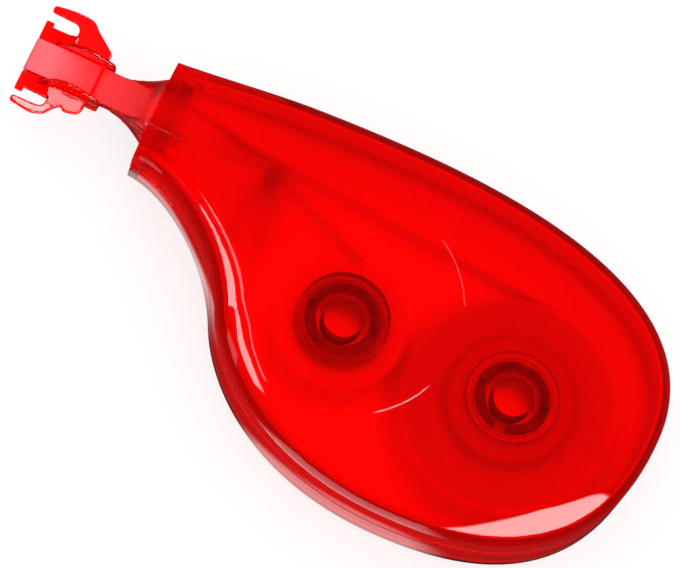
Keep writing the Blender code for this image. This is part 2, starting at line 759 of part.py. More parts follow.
def ribbon(stations):
    """Sweep the tape's section along stations of (place, direction of the width)."""
    sections = []
    for i, (place, across) in enumerate(stations):
        before = stations[max(i - 1, 0)][0]
        after = stations[min(i + 1, len(stations) - 1)][0]
        normal = (after - before).cross(across).normalized() * TAPE_THICKNESS / 2
        half = across * TAPE_WIDTH / 2
        sections.append([place + half + normal, place + half - normal,
                         place - half - normal, place - half + normal])
    return loft(sections)


def tip_stations(side):
    """Tape stations from the front edge, along one face of the blade and through the twist."""
    flat = Vector((0.0, 1.0, 0.0))
    stations = []
    for i in range(WRAP_STEPS + 1):
        angle = math.pi / 2 * i / WRAP_STEPS
        x = BLADE_X - WRAP_RADIUS * math.cos(angle)
        stations.append((Vector((x, 0.0, MID_Z + side * WRAP_RADIUS * math.sin(angle))), flat))
    stations.append((Vector((BLADE_SLOPE, 0.0, MID_Z + side * TAPE_OFFSET)), flat))
    for i in range(TWIST_STEPS + 1):
        share = i / TWIST_STEPS
        angle = math.pi / 2 * share
        x = TWIST_START + (TWIST_END - TWIST_START) * share
        place = Vector((x, -side * TAPE_OFFSET * math.sin(angle),
                        MID_Z + side * TAPE_OFFSET * math.cos(angle)))
        stations.append((place, Vector((0.0, math.cos(angle), math.sin(angle)))))
    return stations


def touch_point(center, radius, normal):
    """Place on a circle at half the tape's height."""
    return Vector((center[0] + radius * normal.x, center[1] + radius * normal.y, MID_Z))


def feed_run():
    """Fresh tape from the top of its roll to the front edge, along the underside of the blade."""
    upright = Vector((0.0, 0.0, 1.0))
    stations = tip_stations(-1)
    axle = (SUPPLY_X, AXLE_Y)
    radius = ROLL_RADIUS + SEAT_GAP + TAPE_THICKNESS / 2
    normal = tangent(stations[-1][0].xy, 0.0, axle, radius)
    stations.append((touch_point(axle, radius, normal), upright))
    return ribbon(stations)


def return_run():
    """Spent tape from the front edge over the blade, past the guide post, to its reel."""
    upright = Vector((0.0, 0.0, 1.0))
    stations = tip_stations(1)
    post = (GUIDE_X, GUIDE_Y)
    axle = (TAKEUP_X, AXLE_Y)
    post_radius = GUIDE_RADIUS + TAPE_GAP + TAPE_THICKNESS / 2
    reel_radius = SPENT_RADIUS + SEAT_GAP + TAPE_THICKNESS / 2
    leaving = tangent(post, post_radius, axle, reel_radius)
    bend = math.atan2(leaving.x, leaving.y)
    for i in range(WRAP_STEPS):
        angle = bend * i / WRAP_STEPS
        normal = Vector((math.sin(angle), math.cos(angle)))
        stations.append((touch_point(post, post_radius, normal), upright))
    stations.append((touch_point(post, post_radius, leaving), upright))
    stations.append((touch_point(axle, reel_radius, leaving), upright))
    front = stations[0][0] + Vector((0.0, 0.0, SEAT_GAP / 2))
    stations[0] = (front, stations[0][1])
    return ribbon(stations)


def finish(item, name, collection, material, parent):
    """Name a piece, give it its material and hang it on its carrier."""
    item.name = name
    item.data.name = name
    item.data.materials.append(material)
    bpy.context.scene.collection.objects.unlink(item)
    collection.objects.link(item)
    item.parent = parent
    item.data.shade_smooth()
    item.data.set_sharp_from_angle(angle=math.radians(35.0))


def carrier(name, place, parent, collection):
    """An empty that carries a body."""
    empty = bpy.data.objects.new(name, None)
    collection.objects.link(empty)
    empty.location = place
    empty.parent = parent
    return empty


def build():
    """Make every piece and place it."""
    clear_scene()
    parts = new_collection("correction_tape")
    red = principled("red_clear_plastic", (0.80, 0.02, 0.02), 0.12, 0.8)
    white = principled("white_plastic", (0.86, 0.84, 0.82), 0.40)
    gray = principled("gray_rubber", (0.25, 0.25, 0.26), 0.70)
    film = principled("tape_film", (0.92, 0.91, 0.88), 0.55)
    backing = principled("backing_paper", (0.95, 0.15, 0.17), 0.50)

    middle = (-REAR_X / 2, -(CREST_Y + BELLY_Y) / 2, 0.0)
    root = carrier("correction_tape_root", middle, None, parts)
    supply = carrier("supply_axle", (SUPPLY_X, AXLE_Y, 0.0), root, parts)
    takeup = carrier("takeup_axle", (TAKEUP_X, AXLE_Y, 0.0), root, parts)

    pieces = [
        ("case_bottom", case_bottom, red, root),
        ("case_top", case_top, red, root),
        ("tip_head", tip_head, red, root),
        ("feed_run", feed_run, film, root),
        ("return_run", return_run, backing, root),
        ("supply_gear", supply_gear, white, supply),
        ("lower_washer", lower_washer, gray, supply),
        ("supply_core", supply_core, white, supply),
        ("tape_roll", tape_roll, film, supply),
        ("supply_flange", supply_flange, white, supply),
        ("upper_washer", upper_washer, gray, supply),
        ("clutch_cap", clutch_cap, white, supply),
        ("takeup_reel", takeup_reel, white, takeup),
        ("takeup_flange", takeup_flange, white, takeup),
        ("spent_roll", spent_roll, backing, takeup),
    ]
    for name, make, material, parent in pieces:
        finish(make(), name, parts, material, parent)


build()
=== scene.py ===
"""Looks for a clear red correction tape dispenser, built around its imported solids.

The case halves, the tip, the reels and the tape are surfaces worked out with numpy on the sizes of
the part's source. Lengths are in metres. The design frame has X from the tip's front edge to the
rear, Y across the flat face and Z up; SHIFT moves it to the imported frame.
"""
import math

import bmesh
import bpy
import numpy as np
from mathutils import Matrix, Vector


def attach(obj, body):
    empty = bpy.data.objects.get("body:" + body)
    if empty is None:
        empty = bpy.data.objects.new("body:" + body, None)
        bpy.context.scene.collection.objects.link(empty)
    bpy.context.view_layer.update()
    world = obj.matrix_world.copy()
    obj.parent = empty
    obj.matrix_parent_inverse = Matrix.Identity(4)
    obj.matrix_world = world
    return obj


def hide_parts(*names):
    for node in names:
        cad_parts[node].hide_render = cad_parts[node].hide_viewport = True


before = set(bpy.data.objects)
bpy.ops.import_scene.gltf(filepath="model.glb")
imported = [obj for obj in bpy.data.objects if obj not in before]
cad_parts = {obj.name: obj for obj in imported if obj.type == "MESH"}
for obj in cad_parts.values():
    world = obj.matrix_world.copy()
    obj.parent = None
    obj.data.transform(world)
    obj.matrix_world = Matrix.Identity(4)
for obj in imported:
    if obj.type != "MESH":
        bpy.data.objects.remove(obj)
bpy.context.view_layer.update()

# Sizes of the case, as in the part's source
THICKNESS = 0.0150
MID_Z = THICKNESS / 2
WALL = 0.0014
EDGE_RADIUS = 0.0045
EDGE_DROP = 0.0030
SEAM_GAP = 0.0002
SEAM_BEVEL = 0.00012
LIP_HEIGHT = 0.0008
LIP_GAP = 0.0002
MOUTH_X = 0.0168
MOUTH_THICKNESS = 0.010494
TAPER_LENGTH = 0.0180
FRONT_WALL = 0.0014
SHIFT = np.array((-0.044005, 0.0135, 0.0))

# Reach of a joined or cutting piece past the face it meets, and play between neighbours
FUSE = 0.0003
SLACK = 0.001
PLAY = 0.0002
FIT_GAP = 0.0001

# Places clear of the case on every side, and the radius of a profile's point on its own axis
CLEAR_X = 0.1
CLEAR_Y = (-0.05, 0.03)
CLEAR_Z = (-0.01, 0.03)
ON_AXIS = 1e-6

# Knots of the case outline: place, heading in degrees, and reach before and after as shares of the chord
OUTLINE_KNOTS = (
    (0.01680, 0.005847, 5.7, 0.39, 0.33),
    (0.05000, 0.00801, 0.0, 0.33, 0.53),
    (0.08801, -0.01200, -90.0, 0.33, 0.45),
    (0.06100, -0.03501, -180.0, 0.48, 0.47),
    (0.03340, -0.02030, -244.6, 0.26, 0.38),
    (0.01680, -0.007747, -180.0, 0.25, 0.39),
    (0.00930, -0.00095, -270.0, 0.39, 0.39),
)
SPAN_POINTS = 600

# Rows of the case surface: heights at the seam, and shares of the way from the flat's edge to its middle line
SEAM_ROWS = np.array((-0.00024, -0.0001, 0.0001, 0.00024))
FLAT_ROWS = np.array((0.95, 0.84, 0.73, 0.62, 0.52, 0.42, 0.33, 0.25, 0.17, 0.1, 0.05, 0.015))
SPINE_START = np.array((0.0370, -0.0045))
SPINE_RUN = np.array((0.0290, -0.0092))
SPINE_FROM_X = 0.014
SPINE_SPAN_X = 0.069
SHELL_POINTS = 560
CAVITY_POINTS = 440

# Sizes of the reels
SUPPLY_AXLE = np.array((0.0700, -0.0154))
TAKEUP_AXLE = np.array((0.0478, -0.0154))
SUPPLY_TEETH = 48
TAKEUP_TEETH = 26
GEAR_MODULE = 0.0006
PRESSURE_ANGLE = math.radians(20.0)
ROOT_DEPTH = 1.15 * GEAR_MODULE
TIP_HEIGHT = 0.85 * GEAR_MODULE
BACKLASH = 0.00016
FLANK_POINTS = 6
GEAR_LOW = 0.0024
GEAR_HIGH = 0.0040
GEAR_CHAMFER = 0.00012
GEAR_BORE = 0.0047
GEAR_HOLES = 6
GEAR_HOLE_RADIUS = 0.0016
HUB_RADIUS = 0.0056
CORE_BORE = 0.0058
CORE_RADIUS = 0.0071
CORE_LIFT = 0.0006
CORE_FLANGE = 0.0005
ROLL_RADIUS = 0.0131
FLANGE_RADIUS = 0.0125
TAKEUP_CORE = 0.0068
TAKEUP_SEAT_STEP = 1e-5
TAKEUP_RIM = 0.0006
SPENT_RADIUS = 0.0075
TAPE_LOW = 0.0054
TAPE_HIGH = 0.0096
FLANGE_LOW = 0.0098
FLANGE_HIGH = 0.0105
WASHER_WIDTH = 0.0024
WASHER_THICKNESS = 0.0004
UPPER_WASHER = (0.0106, 0.0110)
CAP_LOW = 0.0111
CAP_HIGH = 0.0119
CAP_WIDTH = 0.0020
CAP_CHAMFER = 0.0004
FINE_ROUND = 0.0001
DISC_STEPS = 160
SMALL_STEPS = 48

# A tooth line's marks in a profile: just inside it, or on it
BEVELLED = -GEAR_CHAMFER
ON_TEETH = -1e-9

# Sizes of the posts, pins, ribs and keepers in the case
POST_RADIUS = 0.0045
POST_BORE = 0.0036
POST_TOP = 0.0129
POST_SHOULDER = 0.001
EDGE_ROUND = 0.00015
POST_SLOT = ((0.0, -0.0007, WALL + 0.003), (0.006, 0.0007, 0.02))
BOSS_WALL = 0.0009
PIN_BORE = 0.0024
PIN_RADIUS = 0.0034
PIN_LENGTH = 0.0055
PIN_ROUND = 0.0002
RIB_OFFSET = 0.0006
RIB_HALF = 0.0003
RIB_LENGTH = 0.0064
RIB_HEIGHT = 0.0032
GUIDE_ABOVE = 0.0007
KEEPER_X = 0.0200
KEEPER_THICKNESS = 0.001
KEEPER_GAP = 0.0003

# Sizes of the tape
TAPE_WIDTH = 0.0042
TAPE_THICKNESS = 0.00015
TAPE_GAP = 0.00015
TWIST_START = 0.0160
TWIST_END = 0.0285
WRAP_POINTS = 10
TWIST_POINTS = 60
RUNS_APART = 0.00005

# Sizes of the tip
BLADE_THICKNESS = 0.0010
BLADE_EDGE = 0.0005
BLADE_SLOPE = 0.0040
TAPE_OFFSET = BLADE_THICKNESS / 2 + TAPE_GAP + TAPE_THICKNESS / 2
WRAP_RADIUS = BLADE_EDGE / 2 + TAPE_GAP + TAPE_THICKNESS / 2
FRONT_MARGIN = 0.000003
BLADE_X = WRAP_RADIUS + TAPE_THICKNESS / 2 + FRONT_MARGIN
RAIL_Y = 0.00225
RAIL_END = 0.01015
NECK_HALF = 0.0027
NECK_HEIGHT = 0.00135
WEB_HALF = 0.0022
WEB_END = 0.0150
FLARE_START = 0.0136
FLARE_END = MOUTH_X - 0.0006
SKIRT_START = 0.0118
SKIRT_END = 0.0166
SKIRT_HALF = 0.0043
SKIRT_POWER = 1.7
BAR_X = 0.00885
BAR_HALF = 0.00018
BAR_Z = 0.0013
BAR_RISE = 0.0002
COLLAR_X = 0.0184
COLLAR_LENGTH = 0.0014
COLLAR_SIDE = 0.0015
COLLAR_TOP = 0.0009
SHANK_SIDE = 0.0007
SHANK_TOP = 0.0005
SHANK_ROUND = 0.0012
WING_RISE = math.radians(11.0)
WING_ROOT = 0.0026
WING_THICKNESS = 0.0005
LUG_HALF = 0.0050
LUG_FALL = math.radians(3.0)
GUIDE_RADIUS = 0.0010
GUIDE = np.array((0.0330, -(TAPE_OFFSET + TAPE_THICKNESS / 2 + TAPE_GAP + GUIDE_RADIUS)))
BORE_GAP = 0.0003
BORE_RADIUS = math.hypot(TAPE_WIDTH / 2, TAPE_OFFSET + TAPE_THICKNESS / 2) + BORE_GAP
SLOT_X = 0.0143
SLOT_REACH = 0.0010
NOTCH_X = 0.0125
NOTCH_REACH = 0.0029

# Roundings of the tip's creases, corners of its plans, and the grid that finds its surface
TIP_ROUND = 0.00018
CUT_ROUND = 0.00008
BAR_BLEND = 0.00005
WALL_BLEND = 0.0003
WING_BLEND = 0.0004
BLADE_CORNER = 0.0002
WING_CORNER = 0.00035
ARCH_CORNER = 0.0006
PLAN_STEPS = 3
TIP_LOW = (-0.0002, -0.0073, 0.0038)
TIP_HIGH = (0.0201, 0.0073, 0.0112)
TIP_STEP = 0.00011

# Plans of half the blade and of the two wings, and the side view of the walls beside the tape
BLADE_PLAN = (
    (BLADE_X, -0.001), (BLADE_X, RAIL_Y), (0.00005, RAIL_Y), (0.00005, 0.0048), (0.0011, 0.0048),
    (0.0011, 0.0042), (0.0042, 0.0042), (0.0042, NECK_HALF), (RAIL_END, NECK_HALF),
    (RAIL_END, WEB_HALF), (WEB_END, WEB_HALF), (WEB_END, -0.001),
)
WING_FRONT = ((0.0037, 0.0057), (0.0002, 0.0058), (0.0002, 0.00665), (0.0019, 0.0069), (0.0032, 0.00705))
WING_BACK = ((0.0036, WING_ROOT), (0.0036, 0.0042), (0.0042, 0.0042), (0.0042, 0.0052))
FAR_WING = (
    *WING_FRONT, (0.0047, 0.0070), (0.0056, 0.0068), (0.0063, 0.0061), (0.0090, 0.0042),
    (0.0090, WING_ROOT), *WING_BACK,
)
NEAR_WING = (
    *WING_FRONT, (0.0046, 0.0065), (0.0053, 0.00545), (0.0061, 0.00455), (0.0066, 0.0051),
    (0.0082, 0.00475), (0.0087, 0.0040), (0.0087, WING_ROOT), *WING_BACK,
)
RAIL_ARCH = (
    (0.0019, -0.00025), (0.0019, 0.00025), (0.0030, 0.0008), (0.0042, 0.0026), (0.0056, 0.0034),
    (0.0072, 0.0034), (0.0089, 0.0026), (RAIL_END, 0.0019), (RAIL_END, -0.0018), (0.0037, -0.0018),
)

# Fine moulded ring line and gate mark on the flat face
RING_CENTER = np.array((0.0477, -0.0136))
RING_RADIUS = 0.0137
RING_ARCS = ((-54.0, -22.0), (24.0, 60.0))
LINE_WIRE = 0.00012
LINE_LIFT = 0.4
GATE = np.array((0.0485, 0.0018))
GATE_PROFILE = ((ON_AXIS, THICKNESS - 0.0001), (0.0003, THICKNESS + 0.0002), (ON_AXIS, THICKNESS + 0.0002))
GATE_STEPS = 32

# Face marks: polished outside of the case, matte skin inside it, rubbed fine lines, satin posts and keepers
POLISHED = 0
MATTE = 1
RUBBED = 2
SATIN = 3
SATIN_SHARE = 0.35

# Soft-edged panel in the sky that gloss reflects: level, softness and inward normals of its bounding planes
PANEL_LEVEL = 13.0
PANEL_SOFT = 0.030
PANEL_PLANES = (
    (-0.107, -0.988, 0.114), (0.965, 0.159, -0.211), (0.934, 0.287, 0.214), (0.555, 0.271, 0.786),
    (-0.28, 0.28, 0.918),
)

# Strips that only gloss sees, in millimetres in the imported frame: level, place faced, then a line's points,
# each with a half width. The last strip is dark and keeps the bright ones off the nose.
MM = 0.001
STRIPS = (
    (9.0, (-10.0, -4.0, 14.0), (
        (-47.6, -11.0, 34.0, 2.2), (-43.2, -10.3, 37.2, 1.8), (-38.9, -8.8, 41.5, 1.5),
        (-34.5, -8.2, 45.0, 1.8), (-30.5, -12.0, 46.8, 3.6), (-29.2, -17.8, 46.2, 5.0),
        (-26.7, -22.6, 46.0, 6.5), (-21.7, -31.6, 44.4, 4.5))),
    (4.0, (-10.0, -3.0, 14.7), (
        (-43.3, -2.6, 43.0, 1.0), (-34.3, -2.2, 47.5, 1.0), (-23.8, -1.3, 51.6, 1.0),
        (-16.5, -3.6, 53.3, 1.0), (-16.8, -10.0, 52.9, 1.0), (-13.7, -18.8, 52.5, 1.0))),
    (1.2, (-25.0, 6.0, 11.7), (
        (-33.7, -30.6, 25.6, 8.0), (-41.2, -28.0, 24.8, 8.0), (-45.7, -25.2, 24.1, 6.0))),
    (13.0, (-41.3, 7.7, 8.4), ((-48.5, 39.4, 46.9, 2.4), (-42.0, 39.4, 46.9, 2.4))),
    (6.5, (-37.2, 9.5, 8.2), ((-41.4, 12.6, 24.2, 1.6), (-36.2, 12.6, 24.2, 1.6))),
    (0.0, (-22.0, 6.0, 13.0), ((-34.5, 4.5, 18.2, 3.4), (-23.2, 3.2, 19.2, 3.4))),
)

# Floor: half size, grey for light and for gloss, and its own light towards the camera and clear plastic
FLOOR_HALF = 3.0
FLOOR_GREY = 0.32
MIRRORED_GREY = 0.04
CAMERA_GLOW = 0.72
CLEAR_GLOW = 0.95

# Sky: heights where the dome brightens, its levels, its gain through clear plastic, the dark studio's level
DOME_HEIGHTS = (0.05, 0.6)
DOME_LEVELS = (0.45, 1.45)
CLEAR_GAIN = 1.2
STUDIO_LEVEL = 0.04

# Camera at the photograph's angle: tilt off the face's normal and roll about the view
CAMERA_TILT = math.radians(17.0)
CAMERA_ROLL = math.radians(25.0)
CAMERA_TARGET = Vector((0.0017, 0.00367, MID_Z))
CAMERA_DISTANCE = 0.568
CAMERA_LENS = 250.0
CAMERA_SENSOR = 36.0
CAMERA_NEAR = 0.01


def grid_faces(rows, columns, close_rows=False, close_columns=True):
    """Quads of a grid numbered row by row, joined round along either parameter."""
    i = np.arange(rows if close_rows else rows - 1)
    j = np.arange(columns if close_columns else columns - 1)
    i, j = np.meshgrid(i, j, indexing="ij")
    over = (i + 1) % rows
    right = (j + 1) % columns
    corners = (i * columns + j, i * columns + right, over * columns + right, over * columns + j)
    return np.stack(corners, axis=-1).reshape(-1, 4)


def put(points, faces, caps=()):
    """Make an object from design-frame points, quads and a few many-sided caps, facing outwards."""
    mesh = bpy.data.meshes.new("piece")
    flat = np.asarray(points, dtype=float).reshape(-1, 3) + SHIFT
    mesh.from_pydata(flat.tolist(), [], np.asarray(faces).tolist() + [list(cap) for cap in caps])
    work = bmesh.new()
    work.from_mesh(mesh)
    bmesh.ops.recalc_face_normals(work, faces=work.faces)
    if work.calc_volume(signed=True) < 0.0:
        bmesh.ops.reverse_faces(work, faces=work.faces)
    work.to_mesh(mesh)
    work.free()
    for _ in (POLISHED, MATTE, RUBBED, SATIN):
        mesh.materials.append(None)
    item = bpy.data.objects.new("piece", mesh)
    bpy.context.scene.collection.objects.link(item)
    return item


def combine(item, tool, operation, mark=POLISHED):
    """Apply one Boolean to a closed piece, with the mark on the tool's faces, and drop the tool."""
    tool.data.polygons.foreach_set("material_index", np.full(len(tool.data.polygons), mark))
    step = item.modifiers.new("step", "BOOLEAN")
    step.solver = "MANIFOLD"
    step.operation = operation
    step.object = tool
    bpy.context.view_layer.update()
    result = bpy.data.meshes.new_from_object(item.evaluated_get(bpy.context.evaluated_depsgraph_get()))
    item.modifiers.clear()
    old = item.data
    item.data = result
    bpy.data.meshes.remove(old)
    bpy.data.meshes.remove(tool.data)
    return item


def join(item, *tools, mark=MATTE):
    """Add pieces that overlap the first one; their faces get the mark."""
    for tool in tools:
        combine(item, tool, "UNION", mark)
    return item


def cut(item, *tools, mark=MATTE):
    """Take pieces away from the first one; the faces they leave get the mark."""
    for tool in tools:
        combine(item, tool, "DIFFERENCE", mark)
    return item


def block(low, high):
    """A box between two corners, as a square loop carried from the low height to the high one."""
    x = np.array((low[0], high[0], high[0], low[0]))
    y = np.array((low[1], low[1], high[1], high[1]))
    points = np.stack([np.stack((x, y, np.full(4, z)), axis=-1) for z in (low[2], high[2])])
    return put(points, grid_faces(2, 4), [(0, 1, 2, 3), (4, 5, 6, 7)])


def behind(start, low, high):
    """A block round all of the case behind one place on X, between two heights."""
    return block((start, CLEAR_Y[0], low), (CLEAR_X, CLEAR_Y[1], high))


def turned(profile, center, steps=128):
    """A closed (radius, height) profile carried round an upright axis."""
    turn = np.linspace(0.0, math.tau, steps, endpoint=False)
    return carried(np.asarray(profile), turn, 0.0, center)


def carried(profile, angle, line, center):
    """A closed profile carried round an axis; a negative radius stands inside a line of radii."""
    radius = np.where(profile[:, :1] > 0.0, profile[:, :1], line + profile[:, :1])
    x = center[0] + radius * np.cos(angle)
    y = center[1] + radius * np.sin(angle)
    z = np.broadcast_to(profile[:, 1:], x.shape)
    return put(np.stack((x, y, z), axis=-1), grid_faces(len(profile), len(angle), close_rows=True))


def rounded(corners, radius, steps=4):
    """A closed profile with every corner replaced by a quadratic arc that starts one radius away."""
    most = 0.45
    corners = np.asarray(corners, dtype=float)
    before = np.roll(corners, 1, axis=0) - corners
    after = np.roll(corners, -1, axis=0) - corners
    reach_in = np.minimum(radius, np.linalg.norm(before, axis=1) * most)[:, None]
    reach_out = np.minimum(radius, np.linalg.norm(after, axis=1) * most)[:, None]
    start = corners + before / np.linalg.norm(before, axis=1)[:, None] * reach_in
    end = corners + after / np.linalg.norm(after, axis=1)[:, None] * reach_out
    t = np.linspace(0.0, 1.0, steps + 1)[None, :, None]
    arc = (1 - t) ** 2 * start[:, None] + 2 * t * (1 - t) * corners[:, None] + t ** 2 * end[:, None]
    return arc.reshape(-1, corners.shape[1])


def case_outline(count):
    """Even points along the case outline and their outward normals, from cubic spans between the knots."""
    knots = np.array(OUTLINE_KNOTS)
    start = knots[:, :2]
    end = np.roll(start, -1, axis=0)
    chord = np.linalg.norm(end - start, axis=1)[:, None]
    angle = np.radians(knots[:, 2])
    way = np.stack((np.cos(angle), np.sin(angle)), axis=1)
    first = start + knots[:, 4:5] * chord * way
    second = end - np.roll(knots[:, 3:4], -1, axis=0) * chord * np.roll(way, -1, axis=0)
    t = np.linspace(0.0, 1.0, SPAN_POINTS, endpoint=False)[None, :, None]
    s = 1.0 - t
    start, first, second, end = (p[:, None, :] for p in (start, first, second, end))
    place = (s ** 3 * start + 3 * s * s * t * first + 3 * s * t * t * second + t ** 3 * end).reshape(-1, 2)
    along = (s * s * (first - start) + 2 * s * t * (second - first) + t * t * (end - second)).reshape(-1, 2)
    loops = np.hstack((place, along))
    loops = np.vstack((loops, loops[:1]))
    length = np.concatenate(((0.0,), np.cumsum(np.linalg.norm(np.diff(loops[:, :2], axis=0), axis=1))))
    even = np.linspace(0.0, length[-1], count, endpoint=False)
    even_loops = np.stack([np.interp(even, length, value) for value in loops.T], axis=1)
    place, along = np.split(even_loops, 2, axis=1)
    along /= np.linalg.norm(along, axis=1)[:, None]
    return place, np.stack((-along[:, 1], along[:, 0]), axis=1)


def taper(points):
    """Scale heights about the seam by a smooth step that falls from 1 to the mouth's thickness."""
    share = np.clip((points[..., 0] - MOUTH_X) / TAPER_LENGTH, 0.0, 1.0)
    least = MOUTH_THICKNESS / THICKNESS
    scale = least + (1.0 - least) * share * share * (3.0 - 2.0 * share)
    result = points.copy()
    result[..., 2] = MID_Z + (points[..., 2] - MID_Z) * scale
    return result


def level_rows(rows, height):
    """Rows of plan places with their height, or with one height for each row."""
    return np.concatenate((rows, np.full(rows.shape[:2] + (1,), height)), axis=2)


def pebble(inset, count, groove=0.0):
    """The rounded case form, drawn in by one distance.

    A half section of flat, quarter ellipse, wall, quarter ellipse and flat is carried round the
    outline. The flats run on to a line between the two reels, where a cap closes them.
    """
    place, normal = case_outline(count)
    quarter = np.linspace(0.0, math.pi / 2, 21)
    depth = EDGE_RADIUS - (EDGE_RADIUS - inset) * np.cos(quarter)
    rise = (EDGE_DROP - inset) * np.sin(quarter)
    top = THICKNESS - EDGE_DROP
    wall_depth = inset + groove * np.array((0.0, 1.0, 1.0, 0.0))
    depths = np.concatenate((depth[::-1], wall_depth, depth))
    heights = np.concatenate((EDGE_DROP - rise[::-1], MID_Z + SEAM_ROWS, top + rise))
    band = place[None] - normal[None] * depths[:, None, None]
    edge = band[0]
    share = np.clip((edge[:, :1] - SPINE_FROM_X) / SPINE_SPAN_X, 0.0, 1.0)
    line = SPINE_START + share * SPINE_RUN
    inward = FLAT_ROWS[:, None, None]
    flat = edge[None] * (1.0 - inward) + line[None] * inward
    points = taper(np.concatenate((level_rows(flat, heights[0]), level_rows(band, heights[:, None, None]),
                                   level_rows(flat[::-1], heights[-1]))))
    rows = len(points)
    last = (rows - 1) * count
    caps = [range(count), range(last, last + count)]
    return put(points, grid_faces(rows, count), caps)


def lip(inner, outer, low, high, start, count=320):
    """A band between two insets of the outline and two heights, kept behind one place on X."""
    place, normal = case_outline(count)
    section = ((inner, low), (inner, high), (outer, high), (outer, low))
    points = np.stack([np.column_stack((place - normal * d, np.full(count, z))) for d, z in section])
    band = put(points, grid_faces(4, count, close_rows=True))
    return combine(band, behind(start, low - SLACK, high + SLACK), "INTERSECT")


def hollow_case(low, high):
    """The case wall between two heights: the outer form less the cavity and the tip's opening."""
    shell = pebble(0.0, SHELL_POINTS, SEAM_BEVEL)
    combine(shell, behind(MOUTH_X, low, high), "INTERSECT")
    cavity = pebble(WALL, CAVITY_POINTS)
    combine(cavity, behind(MOUTH_X + FRONT_WALL, *CLEAR_Z), "INTERSECT")
    cut(shell, cavity)
    width = BORE_RADIUS + SHANK_SIDE + PLAY
    height = BORE_RADIUS + SHANK_TOP + PLAY
    front = (MOUTH_X - SLACK, -width, MID_Z - height)
    return cut(shell, block(front, (MOUTH_X + 2 * SLACK, width, MID_Z + height)))


def split_post(center, slots):
    """A hollow axle post with a rounded top on a round shoulder, with slots down from the top."""
    low = WALL - FUSE
    shoulder = GEAR_LOW - PLAY
    foot = POST_RADIUS + POST_SHOULDER
    profile = rounded([(POST_BORE, WALL + FUSE), (POST_BORE, POST_TOP), (POST_RADIUS, POST_TOP),
                       (POST_RADIUS, shoulder), (foot, shoulder), (foot, low), (POST_BORE, low)], EDGE_ROUND)
    post = turned(profile, center)
    there = Matrix.Translation((*(center + SHIFT[:2]), 0.0))
    back = Matrix.Translation((-SHIFT[0], -SHIFT[1], 0.0))
    for i in range(slots):
        slot = block(*POST_SLOT)
        slot.data.transform(there @ Matrix.Rotation(math.tau * i / slots, 4, "Z") @ back)
        cut(post, slot)
    return post


def ring_line(center, radius, start, stop):
    """A fine round wire carried along an arc just above the flat face; it cuts a shallow moulded line."""
    steps = 60
    sides = 8
    turn = np.radians(np.linspace(start, stop, steps))[:, None]
    section = np.linspace(0.0, math.tau, sides, endpoint=False)
    reach = radius + LINE_WIRE * np.cos(section)
    height = THICKNESS + LINE_WIRE * (LINE_LIFT + np.sin(section))
    points = np.stack((center[0] + reach * np.cos(turn), center[1] + reach * np.sin(turn),
                       np.broadcast_to(height, (steps, sides))), axis=-1)
    caps = [range(sides), range((steps - 1) * sides, steps * sides)]
    return put(points, grid_faces(steps, sides), caps)


def keepers(low, high):
    """Two ribs behind the tip's collar."""
    inner = BORE_RADIUS + KEEPER_GAP
    outer = BORE_RADIUS + COLLAR_SIDE
    end = KEEPER_X + KEEPER_THICKNESS
    return [block((KEEPER_X, a, low), (end, b, high)) for a, b in ((-outer, -inner), (inner, outer))]


def mouth_floor():
    """Height of the cavity floor just behind the collar."""
    return taper(np.array((COLLAR_X + COLLAR_LENGTH, 0.0, WALL)))[2]


def case_bottom():
    """Lower half: wall, lip, split posts, guide post, ribs and keepers."""
    seam = MID_Z - SEAM_GAP / 2
    shell = hollow_case(CLEAR_Z[0], seam)
    start = KEEPER_X + KEEPER_THICKNESS + 2 * LIP_GAP
    join(shell, lip(WALL + FUSE, (WALL + LIP_GAP) / 2, seam - LIP_HEIGHT, seam + LIP_HEIGHT, start))
    join(shell, split_post(SUPPLY_AXLE, 4), split_post(TAKEUP_AXLE, 2), mark=SATIN)
    top = TAPE_HIGH + GUIDE_ABOVE
    low = WALL - FUSE
    post = rounded([(0.0, low), (GUIDE_RADIUS, low), (GUIDE_RADIUS, top), (0.0, top)], EDGE_ROUND)
    post[:, 0] = np.maximum(post[:, 0], ON_AXIS)
    join(shell, turned(post, GUIDE, SMALL_STEPS))
    for side in (-1, 1):
        middle = GUIDE[0] + side * (GUIDE_RADIUS + RIB_OFFSET)
        join(shell, block((middle - RIB_HALF, GUIDE[1] - RIB_LENGTH, low),
                          (middle + RIB_HALF, GUIDE[1], WALL + RIB_HEIGHT)))
    return join(shell, *keepers(mouth_floor() - FUSE, MID_Z - SEAM_GAP), mark=SATIN)


def case_top():
    """Upper half: wall, groove for the lip, a ring and pin over each axle, keepers and fine marks."""
    seam = MID_Z + SEAM_GAP / 2
    shell = hollow_case(seam, CLEAR_Z[1])
    start = KEEPER_X + KEEPER_THICKNESS + LIP_GAP
    groove_top = MID_Z - SEAM_GAP / 2 + LIP_HEIGHT + LIP_GAP
    cut(shell, lip(WALL + 2 * FUSE, (WALL - LIP_GAP) / 2, seam - FUSE, groove_top, start))
    ceiling = THICKNESS - WALL
    high = ceiling + FUSE
    for axle, hub_top in ((SUPPLY_AXLE, CAP_HIGH), (TAKEUP_AXLE, FLANGE_HIGH)):
        boss = tube(GEAR_BORE, GEAR_BORE + BOSS_WALL, hub_top + PLAY, high)
        pin = tube(PIN_BORE, PIN_RADIUS, ceiling - PIN_LENGTH, high)
        join(shell, turned(rounded(boss, EDGE_ROUND), axle), turned(rounded(pin, PIN_ROUND), axle))
    join(shell, *keepers(MID_Z + SEAM_GAP, THICKNESS - mouth_floor() + FUSE), mark=SATIN)
    for start, stop in RING_ARCS:
        cut(shell, ring_line(RING_CENTER, RING_RADIUS, start, stop), mark=RUBBED)
    return cut(shell, turned(GATE_PROFILE, GATE, GATE_STEPS), mark=RUBBED)


